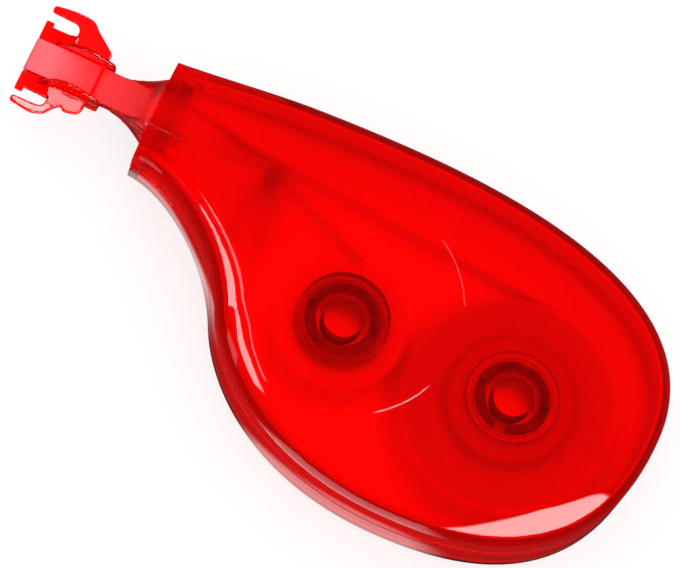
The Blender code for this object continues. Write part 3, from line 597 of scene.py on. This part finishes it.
def tube(inner, outer, low, high):
    """Profile of a plain tube or ring."""
    return [(inner, low), (outer, low), (outer, high), (inner, high)]


def tooth_polar(teeth, first_tooth):
    """Angles and radii round a spur gear: root arc, involute flank, tip land and flank, tooth by tooth."""
    pitch = GEAR_MODULE * teeth / 2
    base = pitch * math.cos(PRESSURE_ANGLE)
    radii = np.linspace(pitch - ROOT_DEPTH, pitch + TIP_HEIGHT, FLANK_POINTS)
    pressure = np.arccos(np.minimum(base / radii, 1.0))
    flank = math.tan(PRESSURE_ANGLE) - PRESSURE_ANGLE - (np.tan(pressure) - pressure)
    half = math.pi / (2 * teeth) - BACKLASH / (4 * pitch) + flank
    middle = first_tooth + math.tau * np.arange(teeth)[:, None] / teeth
    angle = np.concatenate((middle - half, middle + half[::-1]), axis=1).ravel()
    radius = np.tile(np.concatenate((radii, radii[::-1])), teeth)
    return angle, radius


def geared(teeth, first_tooth, center, above, top):
    """A gear with chamfered teeth, what stands on it, and a chamfered hub up to the top."""
    profile = [(GEAR_BORE, GEAR_LOW), (BEVELLED, GEAR_LOW), (ON_TEETH, GEAR_LOW + GEAR_CHAMFER),
               (ON_TEETH, GEAR_HIGH - GEAR_CHAMFER), (BEVELLED, GEAR_HIGH), *above,
               (HUB_RADIUS, top - GEAR_CHAMFER), (HUB_RADIUS - GEAR_CHAMFER, top),
               (GEAR_BORE + GEAR_CHAMFER, top), (GEAR_BORE, top - GEAR_CHAMFER)]
    return carried(np.array(profile), *tooth_polar(teeth, first_tooth), center)


def supply_gear():
    """Large gear: flat disc with round holes, and a tall hub."""
    gear = geared(SUPPLY_TEETH, 0.0, SUPPLY_AXLE, [(HUB_RADIUS, GEAR_HIGH)], CAP_HIGH)
    ring = (HUB_RADIUS + WASHER_WIDTH + GEAR_MODULE * SUPPLY_TEETH / 2) / 2
    hole = tube(ON_AXIS, GEAR_HOLE_RADIUS, GEAR_LOW - FUSE, GEAR_HIGH + FUSE)
    for i in range(GEAR_HOLES):
        turn = math.tau * i / GEAR_HOLES
        center = SUPPLY_AXLE + ring * np.array((math.cos(turn), math.sin(turn)))
        cut(gear, turned(hole, center, SMALL_STEPS))
    return gear


def takeup_reel():
    """Small gear in one piece with its seat, the core for the spent tape and the spigot above."""
    seat = GEAR_MODULE * TAKEUP_TEETH / 2 - ROOT_DEPTH - TAKEUP_SEAT_STEP
    above = [(seat, GEAR_HIGH), (seat, TAPE_LOW - PLAY), (TAKEUP_CORE, TAPE_LOW - PLAY),
             (TAKEUP_CORE, FLANGE_LOW - FIT_GAP), (HUB_RADIUS, FLANGE_LOW - FIT_GAP)]
    return geared(TAKEUP_TEETH, math.pi / TAKEUP_TEETH, TAKEUP_AXLE, above, FLANGE_HIGH)


def disc_ring(inner, outer, low, high, center, edge=FINE_ROUND):
    """A flat ring with rounded edges."""
    return turned(rounded(tube(inner, outer, low, high), edge), center, DISC_STEPS)


def supply_core():
    """The tube that the tape is wound on, with its thin lower flange."""
    low = GEAR_HIGH + CORE_LIFT
    step = low + CORE_FLANGE
    high = FLANGE_LOW - FIT_GAP
    profile = [(CORE_BORE, low), (FLANGE_RADIUS, low), (FLANGE_RADIUS, step), (CORE_RADIUS, step),
               (CORE_RADIUS, high), (CORE_BORE, high)]
    return turned(rounded(profile, FINE_ROUND), SUPPLY_AXLE, DISC_STEPS)


def clutch_cap():
    """The ring pressed on the hub, with a sloped shoulder."""
    inner = HUB_RADIUS + FIT_GAP
    outer = inner + CAP_WIDTH
    profile = [(inner, CAP_LOW), (outer, CAP_LOW), (outer, CAP_HIGH - CAP_CHAMFER),
               (outer - CAP_CHAMFER, CAP_HIGH), (inner, CAP_HIGH)]
    return turned(rounded(profile, FINE_ROUND), SUPPLY_AXLE, DISC_STEPS)


def ribbon(place, across):
    """The tape's flat section carried along places; across is the direction of its width."""
    way = np.gradient(place, axis=0)
    normal = np.cross(way, across)
    normal *= TAPE_THICKNESS / 2 / np.linalg.norm(normal, axis=1)[:, None]
    half = across * TAPE_WIDTH / 2
    corners = np.stack((place + half + normal, place + half - normal, place - half - normal,
                        place - half + normal), axis=1)
    count = len(place)
    last = (count - 1) * 4
    return put(corners, grid_faces(count, 4), [(0, 1, 2, 3), range(last, last + 4)])


def tip_path(side):
    """Tape places and width directions: round the front edge, along the blade, through a quarter turn."""
    wrap = np.linspace(0.0, math.pi / 2, WRAP_POINTS)
    front = np.column_stack((BLADE_X - WRAP_RADIUS * np.cos(wrap), np.zeros(WRAP_POINTS),
                             MID_Z + side * WRAP_RADIUS * np.sin(wrap)))
    rise = np.array([(BLADE_SLOPE, 0.0, MID_Z + side * TAPE_OFFSET)])
    share = np.linspace(0.0, 1.0, TWIST_POINTS)
    angle = math.pi / 2 * share
    twist = np.column_stack((TWIST_START + (TWIST_END - TWIST_START) * share,
                             -side * TAPE_OFFSET * np.sin(angle),
                             MID_Z + side * TAPE_OFFSET * np.cos(angle)))
    flat = np.tile((0.0, 1.0, 0.0), (WRAP_POINTS + 1, 1))
    turning = np.column_stack((np.zeros(TWIST_POINTS), np.cos(angle), np.sin(angle)))
    return np.vstack((front, rise, twist)), np.vstack((flat, turning))


def common_normal(first, first_radius, second, second_radius):
    """Unit normal of the line that touches two circles on the same upper side."""
    gap = second - first
    lean = math.asin((second_radius - first_radius) / np.linalg.norm(gap))
    angle = math.atan2(gap[1], gap[0]) + math.pi / 2 + lean
    return np.array((math.cos(angle), math.sin(angle)))


def feed_run():
    """Fresh tape from the top of its roll to the front edge, along the underside of the blade."""
    place, across = tip_path(-1)
    radius = ROLL_RADIUS + FIT_GAP + TAPE_THICKNESS / 2
    touch = SUPPLY_AXLE + radius * common_normal(place[-1, :2], 0.0, SUPPLY_AXLE, radius)
    place = np.vstack((place, (*touch, MID_Z)))
    return ribbon(place, np.vstack((across, (0.0, 0.0, 1.0))))


def return_run():
    """Spent tape from the front edge over the blade, round the guide post, to its reel."""
    place, across = tip_path(1)
    place[0, 2] += RUNS_APART
    post_radius = GUIDE_RADIUS + TAPE_GAP + TAPE_THICKNESS / 2
    reel_radius = SPENT_RADIUS + FIT_GAP + TAPE_THICKNESS / 2
    leaving = common_normal(GUIDE, post_radius, TAKEUP_AXLE, reel_radius)
    bend = np.linspace(0.0, math.atan2(leaving[0], leaving[1]), WRAP_POINTS)
    round_post = GUIDE + post_radius * np.column_stack((np.sin(bend), np.cos(bend)))
    plan = np.vstack((round_post, TAKEUP_AXLE + reel_radius * leaving))
    upright = np.column_stack((plan, np.full(len(plan), MID_Z)))
    across = np.vstack((across, np.tile((0.0, 0.0, 1.0), (len(plan), 1))))
    return ribbon(np.vstack((place, upright)), across)


def polygon_distance(x, y, corners):
    """Signed distance to a closed polygon in the plane, negative inside."""
    corners = np.asarray(corners)
    best = np.full(np.broadcast(x, y).shape, np.inf)
    sign = np.ones(best.shape)
    for a, b in zip(corners, np.roll(corners, -1, axis=0)):
        edge = b - a
        wx = x - a[0]
        wy = y - a[1]
        t = np.clip((wx * edge[0] + wy * edge[1]) / edge.dot(edge), 0.0, 1.0)
        best = np.minimum(best, (wx - edge[0] * t) ** 2 + (wy - edge[1] * t) ** 2)
        above = y >= a[1]
        below = y < b[1]
        left = edge[0] * wy > edge[1] * wx
        flip = (above & below & left) | (~above & ~below & ~left)
        sign = np.where(flip, -sign, sign)
    return sign * np.sqrt(best)


def soft_max(a, b, k=TIP_ROUND):
    """The larger of two distances, with the crease between them rounded over a width k."""
    h = np.maximum(k - np.abs(a - b), 0.0) / k
    return np.maximum(a, b) + h * h * k * 0.25


def soft_min(a, b, k=TIP_ROUND):
    """The smaller of two distances, with the crease between them filled over a width k."""
    return -soft_max(-a, -b, k)


def plates_distance(x, y, z):
    """Signed distance of the tip's blade and wings together; the near wing is thicker at its root."""
    side = np.abs(y)
    along = np.clip((x - BLADE_X) / (BLADE_SLOPE - BLADE_X), 0.0, 1.0)
    thick = BLADE_EDGE + (BLADE_THICKNESS - BLADE_EDGE) * along
    plan = polygon_distance(x, side, rounded(BLADE_PLAN, BLADE_CORNER, PLAN_STEPS))
    blade = soft_max(plan, np.abs(z) - thick / 2)
    far = polygon_distance(x, side, rounded(FAR_WING, WING_CORNER, PLAN_STEPS))
    near = polygon_distance(x, side, rounded(NEAR_WING, WING_CORNER, PLAN_STEPS))
    slope = math.tan(WING_RISE)
    middle = slope * (side - WING_ROOT)
    lug_top = slope * (LUG_HALF - WING_ROOT) + math.tan(LUG_FALL) * (LUG_HALF - side)
    top = np.where(y > 0.0, middle, np.maximum(middle, lug_top))
    wing = soft_max(np.where(y > 0.0, far, near), np.maximum(z - top, middle - z) - WING_THICKNESS / 2)
    return soft_min(blade, wing, WING_BLEND)


def shank_distance(x, side, tall):
    """Signed distance of the flared shank, its skirt and its collar together."""
    share = np.clip((x - FLARE_START) / (FLARE_END - FLARE_START), 0.0, 1.0)
    width = NECK_HALF + (BORE_RADIUS + SHANK_SIDE - NECK_HALF) * share * share
    height = NECK_HEIGHT + (BORE_RADIUS + SHANK_TOP - NECK_HEIGHT) * share
    section = soft_max(side - width, tall - height, SHANK_ROUND)
    shank = soft_max(section, np.maximum(FLARE_START - x, x - (COLLAR_X + FUSE)))
    rim = soft_max(side - (BORE_RADIUS + COLLAR_SIDE), tall - (BORE_RADIUS + COLLAR_TOP), SHANK_ROUND)
    collar = soft_max(rim, np.abs(x - COLLAR_X - COLLAR_LENGTH / 2) - COLLAR_LENGTH / 2)
    curve = np.clip((x - SKIRT_START) / (SKIRT_END - SKIRT_START), 0.0, 1.0) ** SKIRT_POWER
    spread_side = side - WEB_HALF - (SKIRT_HALF - WEB_HALF) * curve
    plate = soft_max(spread_side, tall - BLADE_THICKNESS)
    skirt = soft_max(plate, np.maximum(SKIRT_START - x, x - SKIRT_END))
    return soft_min(soft_min(shank, skirt), collar)


def tip_distance(x, y, z):
    """Signed distance of the moulded tip: soft sum of plates, walls and shank, less bore, slots and notch."""
    z = z - MID_Z
    side = np.abs(y)
    tall = np.abs(z)
    rail = soft_max(polygon_distance(x, z, rounded(RAIL_ARCH, ARCH_CORNER)),
                    np.abs(side - (RAIL_Y + NECK_HALF) / 2) - (NECK_HALF - RAIL_Y) / 2)
    bar_section = np.maximum(np.abs(x - BAR_X) - BAR_HALF, np.abs(z - BAR_Z) - BAR_RISE)
    bar = soft_max(bar_section, side - RAIL_Y - BAR_RISE)
    front = soft_min(soft_min(rail, bar, BAR_BLEND), plates_distance(x, y, z), WALL_BLEND)
    body = soft_min(shank_distance(x, side, tall), front, WALL_BLEND)
    bore = np.maximum(np.hypot(y, z) - BORE_RADIUS, WEB_END - FUSE - x)
    reach = TAPE_OFFSET + TAPE_THICKNESS + 2 * TAPE_GAP
    layer = np.abs(tall - (reach + BLADE_THICKNESS / 2) / 2) - (reach - BLADE_THICKNESS / 2) / 2
    slot = np.maximum(np.maximum(side - RAIL_Y, layer), np.abs(x - SLOT_X) - SLOT_REACH)
    notch = np.maximum(np.maximum(side - RAIL_Y, np.abs(x - NOTCH_X) - NOTCH_REACH), BLADE_THICKNESS / 2 - z)
    return soft_max(soft_max(soft_max(body, -bore), -slot, CUT_ROUND), -notch, CUT_ROUND)


def net_surface(distance, low, high, step):
    """Surface of a signed distance: one vertex in each grid cell that it crosses, one quad for each
    grid line that it crosses, and each vertex then moved along the slope onto the surface."""
    axes = [np.arange(a, b + step, step) for a, b in zip(low, high)]
    field = distance(*np.meshgrid(*axes, indexing="ij", sparse=True))
    inside = field < 0.0
    size = np.array(field.shape) - 1
    total = np.zeros((*size, 3))
    count = np.zeros(size)
    corners = [np.array(c) for c in np.ndindex(2, 2, 2)]

    def at(values, corner):
        """Values at one corner of every cell."""
        return values[tuple(slice(c, c + n) for c, n in zip(corner, size))]

    for axis in range(3):
        for corner in corners:
            if corner[axis]:
                continue
            other = corner + np.eye(3, dtype=int)[axis]
            f0 = at(field, corner)
            f1 = at(field, other)
            crossed = at(inside, corner) != at(inside, other)
            t = np.where(crossed, f0 / np.where(crossed, f0 - f1, 1.0), 0.0)
            for k in range(3):
                total[..., k] += np.where(crossed, corner[k] + (t if k == axis else 0.0), 0.0)
            count += crossed
    used = count > 0
    number = np.full(size, -1)
    number[used] = np.arange(used.sum())
    cell = np.argwhere(used)
    points = np.array(low) + (cell + total[used] / count[used][:, None]) * step
    faces = []
    for axis in range(3):
        first = np.take(inside, range(size[axis]), axis=axis)
        second = np.take(inside, range(1, size[axis] + 1), axis=axis)
        place = np.argwhere(first != second)
        rising = first[tuple(place.T)]
        u, v = [k for k in range(3) if k != axis]
        loop = []
        for du, dv in ((1, 1), (0, 1), (0, 0), (1, 0)):
            index = place.copy()
            index[:, u] -= du
            index[:, v] -= dv
            loop.append(number[tuple(index.T)])
        loop = np.stack(loop, axis=1)
        turned_loop = rising if axis != 1 else ~rising
        faces.append(np.where(turned_loop[:, None], loop, loop[:, ::-1]))
    passes = 3
    probe = step * 0.05
    furthest = step * 0.4
    least_slope = 0.25
    for _ in range(passes):
        slope = [distance(*(points + way).T) - distance(*(points - way).T) for way in probe * np.eye(3)]
        slope = np.stack(slope, axis=1) / (2 * probe)
        steepness = np.maximum((slope ** 2).sum(axis=1), least_slope)[:, None]
        move = distance(*points.T)[:, None] * slope / steepness
        points -= np.clip(move, -furthest, furthest)
    return put(points, np.vstack(faces))


def tip_head():
    """The moulded tip, with a matte shank."""
    tip = net_surface(tip_distance, TIP_LOW, TIP_HIGH, TIP_STEP)
    for face in tip.data.polygons:
        if face.center.x > SHIFT[0] + SKIRT_START:
            face.material_index = MATTE
    return tip


def new_material(name):
    """A material with its node tree and its surface shader."""
    material = bpy.data.materials.new(name)
    material.use_nodes = True
    tree = material.node_tree
    return material, tree, tree.nodes["Principled BSDF"]


def feed(tree, item, values):
    """Give a node's inputs, by name or number, a constant or a link from another node."""
    for key, value in values.items():
        if isinstance(value, bpy.types.NodeSocket):
            tree.links.new(value, item.inputs[key])
        else:
            item.inputs[key].default_value = value


def node(tree, kind, *inputs, **values):
    """Add a shader node with inputs given in order or by name, and set its other named properties."""
    item = tree.nodes.new(kind)
    named = {key: value for key, value in values.items() if key in item.inputs}
    for key, value in values.items():
        if key not in named:
            setattr(item, key, value)
    feed(tree, item, {**dict(enumerate(inputs)), **named})
    return item


def maths(tree, operation, *inputs, clamp=False):
    """Result of one operation on values."""
    return node(tree, "ShaderNodeMath", *inputs, operation=operation, use_clamp=clamp).outputs[0]


def spread(tree, source, low, high):
    """Map a 0 to 1 value to a range."""
    return node(tree, "ShaderNodeMapRange", source, 0.0, 1.0, low, high).outputs["Result"]


def grain(tree, where, scale, detail):
    """Noise over coordinates."""
    return node(tree, "ShaderNodeTexNoise", Vector=where, Scale=scale, Detail=detail).outputs["Fac"]


def relief(tree, height, strength, distance):
    """A normal tilted by a height."""
    return node(tree, "ShaderNodeBump", Strength=strength, Distance=distance, Height=height).outputs["Normal"]


def ramp(tree, share, first, last, middle=None, middle_at=0.5):
    """Colour that runs from the first to the last one, by way of a middle one if it is given."""
    item = node(tree, "ShaderNodeValToRGB", Fac=share)
    stops = item.color_ramp.elements
    stops[0].color = (*first, 1.0)
    stops[1].color = (*last, 1.0)
    if middle:
        stops.new(middle_at).color = (*middle, 1.0)
    return item.outputs["Color"]


def own_place(tree):
    """Coordinates of the piece itself."""
    return node(tree, "ShaderNodeTexCoord").outputs["Object"]


def face_mark(tree, name):
    """A value kept on each face."""
    return node(tree, "ShaderNodeAttribute", attribute_name=name).outputs["Fac"]


def red_clear_plastic(name, matte_roughness):
    """Clear red styrene: colour from absorption in the wall, polished with rubbed lines, matte inside."""
    material, tree, shader = new_material(name)
    where = own_place(tree)
    haze = spread(tree, grain(tree, where, 260.0, 3.0), 0.015, 0.05)
    flow = grain(tree, where, 120.0, 1.0)
    feed(tree, shader, {
        "Base Color": (1.0, 1.0, 1.0, 1.0),
        "IOR": 1.49,
        "Transmission Weight": spread(tree, face_mark(tree, "rubbed"), 1.0, 0.95),
        "Roughness": maths(tree, "MULTIPLY_ADD", face_mark(tree, "matte"), matte_roughness, haze),
        "Normal": relief(tree, flow, 0.02, 0.0002),
    })
    body = node(tree, "ShaderNodeVolumeAbsorption", Color=(0.9955, 0.05, 0.04, 1.0), Density=12000.0)
    feed(tree, tree.nodes["Material Output"], {"Volume": body.outputs["Volume"]})
    return material


def moulded_plastic(name, color, roughness):
    """Satin moulded plastic: slight colour drift and a fine pebbled skin."""
    material, tree, shader = new_material(name)
    where = own_place(tree)
    skin = grain(tree, where, 5200.0, 2.0)
    feed(tree, shader, {
        "Base Color": ramp(tree, grain(tree, where, 180.0, 2.0), [c * 0.92 for c in color], color),
        "Roughness": spread(tree, skin, roughness - 0.06, roughness + 0.08),
        "Normal": relief(tree, skin, 0.15, 0.00004),
    })
    return material


def wound_film(name, color, center):
    """Tape wound edge up: fine rings about the axle in colour and height."""
    material, tree, shader = new_material(name)
    middle = (-center[0] - SHIFT[0], -center[1] - SHIFT[1], 0.0)
    shift = node(tree, "ShaderNodeMapping", Vector=own_place(tree), Location=middle)
    rings = node(tree, "ShaderNodeTexWave", Vector=shift.outputs["Vector"], Scale=900.0, Distortion=0.6,
                 wave_type="RINGS", rings_direction="Z").outputs["Fac"]
    feed(tree, shader, {
        "Base Color": ramp(tree, rings, [c * 0.9 for c in color], color),
        "Roughness": 0.5,
        "Normal": relief(tree, rings, 0.3, 0.00005),
    })
    return material


def tape_shaded_to_case(name, front, middle, back):
    """One layer of tape: the colour runs from the tip's front edge to the case, darkening towards the case as
    painted shade, with a fine drift.
    """
    material, tree, shader = new_material(name)
    where = own_place(tree)
    x = node(tree, "ShaderNodeSeparateXYZ", where).outputs["X"]
    along = node(tree, "ShaderNodeMapRange", x, SHIFT[0] + 0.0030, SHIFT[0] + 0.0150).outputs["Result"]
    drift = grain(tree, where, 1500.0, 3.0)
    share = maths(tree, "MULTIPLY_ADD", drift, 0.15, along, clamp=True)
    feed(tree, shader, {
        "Base Color": ramp(tree, share, front, back, middle, 0.45),
        "Roughness": spread(tree, drift, 0.32, 0.5),
        "Specular IOR Level": 0.2,
    })
    return material


def dress(item, body, node_name, material, angle=40.0):
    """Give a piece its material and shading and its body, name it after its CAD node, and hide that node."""
    item.name = node_name + "_look"
    item.data.name = item.name
    skin = np.zeros(len(item.data.polygons), dtype=np.int32)
    item.data.polygons.foreach_get("material_index", skin)
    matte = (skin == MATTE) + SATIN_SHARE * (skin == SATIN)
    rubbed = (skin == RUBBED).astype(float)
    for name, share in (("matte", matte), ("rubbed", rubbed)):
        item.data.attributes.new(name, "FLOAT", "FACE").data.foreach_set("value", share)
    item.data.polygons.foreach_set("material_index", np.zeros_like(skin))
    item.data.materials.clear()
    item.data.materials.append(material)
    item.data.shade_smooth()
    item.data.set_sharp_from_angle(angle=math.radians(angle))
    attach(item, body)
    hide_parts(node_name)


def make_object():
    """Every piece of the dispenser."""
    red = red_clear_plastic("red_clear_plastic_look", 0.34)
    white = moulded_plastic("reel_plastic_look", (0.95, 0.94, 0.93), 0.4)
    natural = moulded_plastic("natural_resin_look", (0.66, 0.65, 0.63), 0.4)
    rubber = moulded_plastic("washer_rubber_look", (0.55, 0.55, 0.56), 0.7)
    fresh = wound_film("fresh_tape_roll", (0.97, 0.96, 0.94), SUPPLY_AXLE)
    spent = wound_film("spent_tape_roll", (0.97, 0.40, 0.42), TAKEUP_AXLE)
    # Painted shade: both tape runs darken from the tip's front edge into the case, and the backing turns from
    # its own pink to deep red there
    film = tape_shaded_to_case("tape_film_look", (0.96, 0.95, 0.93), (0.95, 0.94, 0.91), (0.93, 0.92, 0.89))
    backing = tape_shaded_to_case("backing_look", (1.0, 0.17, 0.20), (1.0, 0.035, 0.047), (0.95, 0.014, 0.020))
    dress(case_bottom(), "case", "case_bottom", red)
    dress(case_top(), "case", "case_top", red)
    dress(tip_head(), "case", "tip_head", red, 60.0)
    dress(feed_run(), "case", "feed_run", film)
    dress(return_run(), "case", "return_run", backing)
    dress(supply_gear(), "supply_drive", "supply_gear", white)
    low = GEAR_HIGH + FIT_GAP
    washer = (CORE_BORE, CORE_BORE + WASHER_WIDTH)
    dress(disc_ring(*washer, low, low + WASHER_THICKNESS, SUPPLY_AXLE),
          "supply_drive", "lower_washer", rubber)
    dress(disc_ring(*washer, *UPPER_WASHER, SUPPLY_AXLE),
          "supply_drive", "upper_washer", rubber)
    dress(clutch_cap(), "supply_drive", "clutch_cap", natural)
    dress(supply_core(), "supply_reel", "supply_core", white)
    dress(disc_ring(CORE_RADIUS + FIT_GAP, ROLL_RADIUS, TAPE_LOW, TAPE_HIGH, SUPPLY_AXLE),
          "supply_reel", "tape_roll", fresh)
    dress(disc_ring(CORE_BORE, FLANGE_RADIUS, FLANGE_LOW, FLANGE_HIGH, SUPPLY_AXLE, EDGE_ROUND),
          "supply_reel", "supply_flange", natural)
    dress(takeup_reel(), "takeup", "takeup_reel", white)
    rim = SPENT_RADIUS + TAKEUP_RIM
    dress(disc_ring(HUB_RADIUS + FIT_GAP, rim, FLANGE_LOW, FLANGE_HIGH, TAKEUP_AXLE, EDGE_ROUND),
          "takeup", "takeup_flange", white)
    dress(disc_ring(TAKEUP_CORE + FIT_GAP, SPENT_RADIUS, TAPE_LOW, TAPE_HIGH, TAKEUP_AXLE),
          "takeup", "spent_roll", spent)


def mirrored_ray(tree, path):
    """1 for a mirrored ray, and 0 for any other and for one through clear plastic."""
    through = path.outputs["Is Transmission Ray"]
    return maths(tree, "SUBTRACT", path.outputs["Is Glossy Ray"], through, clamp=True)


def smooth_mask(tree, edges):
    """Product of smooth steps of values, each from its dark to its light place."""
    result = 1.0
    for value, dark, light in edges:
        step = node(tree, "ShaderNodeMapRange", value, dark, light, interpolation_type="SMOOTHSTEP")
        result = maths(tree, "MULTIPLY", step.outputs["Result"], result)
    return result


def weighted_sum(tree, first, parts):
    """A first value plus each part times its level."""
    total = first
    for part, level in parts:
        total = maths(tree, "MULTIPLY_ADD", part, level, total)
    return total


def measured(tree, operation, where, other):
    """Distance of a place from another one, or its dot product with a direction."""
    return node(tree, "ShaderNodeVectorMath", where, other, operation=operation).outputs["Value"]


def make_strips():
    """Strips beside the case that only gloss sees: highlights on the left edge, the nose and a tip wing.

    Each strip is a row of quads along its line, with its width square to the line and to the place faced.
    """
    for number, (level, faced, points) in enumerate(STRIPS):
        line = np.array(points)[:, :3] * MM
        half_width = np.array(points)[:, 3:] * MM
        side = np.cross(np.gradient(line, axis=0), np.array(faced) * MM - line)
        side *= half_width / np.linalg.norm(side, axis=1)[:, None]
        corners = np.stack((line - side, line + side), axis=1).reshape(-1, 3)
        mesh = bpy.data.meshes.new("strip")
        mesh.from_pydata(corners.tolist(), [], grid_faces(len(line), 2, close_columns=False).tolist())
        strip = bpy.data.objects.new("strip_%d" % number, mesh)
        bpy.context.scene.collection.objects.link(strip)
        for ray in ("camera", "diffuse", "transmission", "shadow"):
            setattr(strip, "visible_" + ray, False)
        material, tree, shader = new_material("strip")
        feed(tree, shader, {
            "Base Color": (0.0, 0.0, 0.0, 1.0),
            "Specular IOR Level": 0.0,
            "Emission Color": (1.0, 1.0, 1.0, 1.0),
            "Emission Strength": level,
        })
        mesh.materials.append(material)


def floor_cards(tree):
    """Light of the floor towards gloss: a far and a near card before the belly, and one by the nose."""
    where = own_place(tree)
    split = node(tree, "ShaderNodeSeparateXYZ", where)
    x = split.outputs["X"]
    y = split.outputs["Y"]
    belly = measured(tree, "DISTANCE", where, (0.0165, 0.0045, 0.0))
    waist = measured(tree, "DISTANCE", where, (-0.0272, -0.0115, 0.0))
    ends = ((measured(tree, "DOT_PRODUCT", where, (0.927, -0.375, 0.0)), 0.002, 0.008),
            (measured(tree, "DOT_PRODUCT", where, (0.984, 0.177, 0.0)), 0.024, 0.017),
            (y, 0.0, -0.010))
    far = smooth_mask(tree, ((belly, 0.0310, 0.0345), *ends))
    base = smooth_mask(tree, ((belly, 0.0290, 0.0280), *ends))
    nose = smooth_mask(tree, ((waist, 0.0150, 0.0158), (x, -0.010, -0.016), (y, -0.012, -0.004),
                              (y, 0.0062, 0.0050)))
    return weighted_sum(tree, 0.0, ((far, 1.8), (base, 0.8), (nose, 1.0)))


def make_floor():
    """A pale floor that keeps the shadow and shows white to the camera and to clear plastic.

    Gloss sees it darker, with bright cards in front of the belly and beside the nose.
    """
    size = FLOOR_HALF
    mesh = bpy.data.meshes.new("floor")
    mesh.from_pydata([(-size, -size, 0.0), (size, -size, 0.0), (size, size, 0.0), (-size, size, 0.0)], [],
                     [(0, 1, 2, 3)])
    floor = bpy.data.objects.new("floor", mesh)
    bpy.context.scene.collection.objects.link(floor)
    material, tree, shader = new_material("pale_floor")
    path = node(tree, "ShaderNodeLightPath")
    mirrored = mirrored_ray(tree, path)
    tone = node(tree, "ShaderNodeMix", data_type="RGBA", Factor=mirrored, A=(*[FLOOR_GREY] * 3, 1.0),
                B=(*[MIRRORED_GREY] * 3, 1.0))
    cards = maths(tree, "MULTIPLY", mirrored, floor_cards(tree))
    feed(tree, shader, {
        "Base Color": tone.outputs["Result"],
        "Roughness": 0.9,
        "Specular IOR Level": 0.0,
        "Emission Color": (1.0, 1.0, 1.0, 1.0),
        "Emission Strength": weighted_sum(tree, cards, ((path.outputs["Is Camera Ray"], CAMERA_GLOW),
                                                        (path.outputs["Is Transmission Ray"], CLEAR_GLOW))),
    })
    mesh.materials.append(material)


def make_light():
    """A soft dome that is dim near the horizon; mirrored rays see a dark studio with one soft panel."""
    world = bpy.data.worlds.new("studio")
    bpy.context.scene.world = world
    world.use_nodes = True
    tree = world.node_tree
    tree.nodes.clear()
    way = node(tree, "ShaderNodeTexCoord").outputs["Generated"]
    height = node(tree, "ShaderNodeSeparateXYZ", way).outputs["Z"]
    dome = node(tree, "ShaderNodeMapRange", height, *DOME_HEIGHTS, *DOME_LEVELS,
                interpolation_type="SMOOTHSTEP")
    depths = [measured(tree, "DOT_PRODUCT", way, normal) for normal in PANEL_PLANES]
    panel = smooth_mask(tree, [(depth, 0.0, PANEL_SOFT) for depth in depths])
    path = node(tree, "ShaderNodeLightPath")
    gain = weighted_sum(tree, 1.0, ((path.outputs["Is Transmission Ray"], CLEAR_GAIN),))
    level = node(tree, "ShaderNodeMix", data_type="FLOAT", Factor=mirrored_ray(tree, path),
                 A=maths(tree, "MULTIPLY", dome.outputs["Result"], gain),
                 B=weighted_sum(tree, STUDIO_LEVEL, ((panel, PANEL_LEVEL),)))
    back = node(tree, "ShaderNodeBackground", Strength=level.outputs["Result"])
    node(tree, "ShaderNodeOutputWorld", Surface=back.outputs["Background"])


def make_camera():
    """Camera at the photograph's angle."""
    out = Vector((0.0, -math.sin(CAMERA_TILT), math.cos(CAMERA_TILT)))
    rise = Vector((0.0, math.cos(CAMERA_TILT), math.sin(CAMERA_TILT)))
    level = Vector((1.0, 0.0, 0.0))
    right = math.cos(CAMERA_ROLL) * level + math.sin(CAMERA_ROLL) * rise
    up = -math.sin(CAMERA_ROLL) * level + math.cos(CAMERA_ROLL) * rise
    camera = bpy.data.cameras.new("camera")
    camera.sensor_fit = "HORIZONTAL"
    camera.sensor_width = CAMERA_SENSOR
    camera.lens = CAMERA_LENS
    camera.clip_start = CAMERA_NEAR
    item = bpy.data.objects.new("camera", camera)
    turn = Matrix((right, up, out)).transposed().to_4x4()
    item.matrix_world = Matrix.Translation(CAMERA_TARGET + out * CAMERA_DISTANCE) @ turn
    bpy.context.scene.collection.objects.link(item)
    bpy.context.scene.camera = item


make_object()
make_floor()
make_strips()
make_light()
make_camera()
bpy.context.scene.view_settings.view_transform = "Standard"
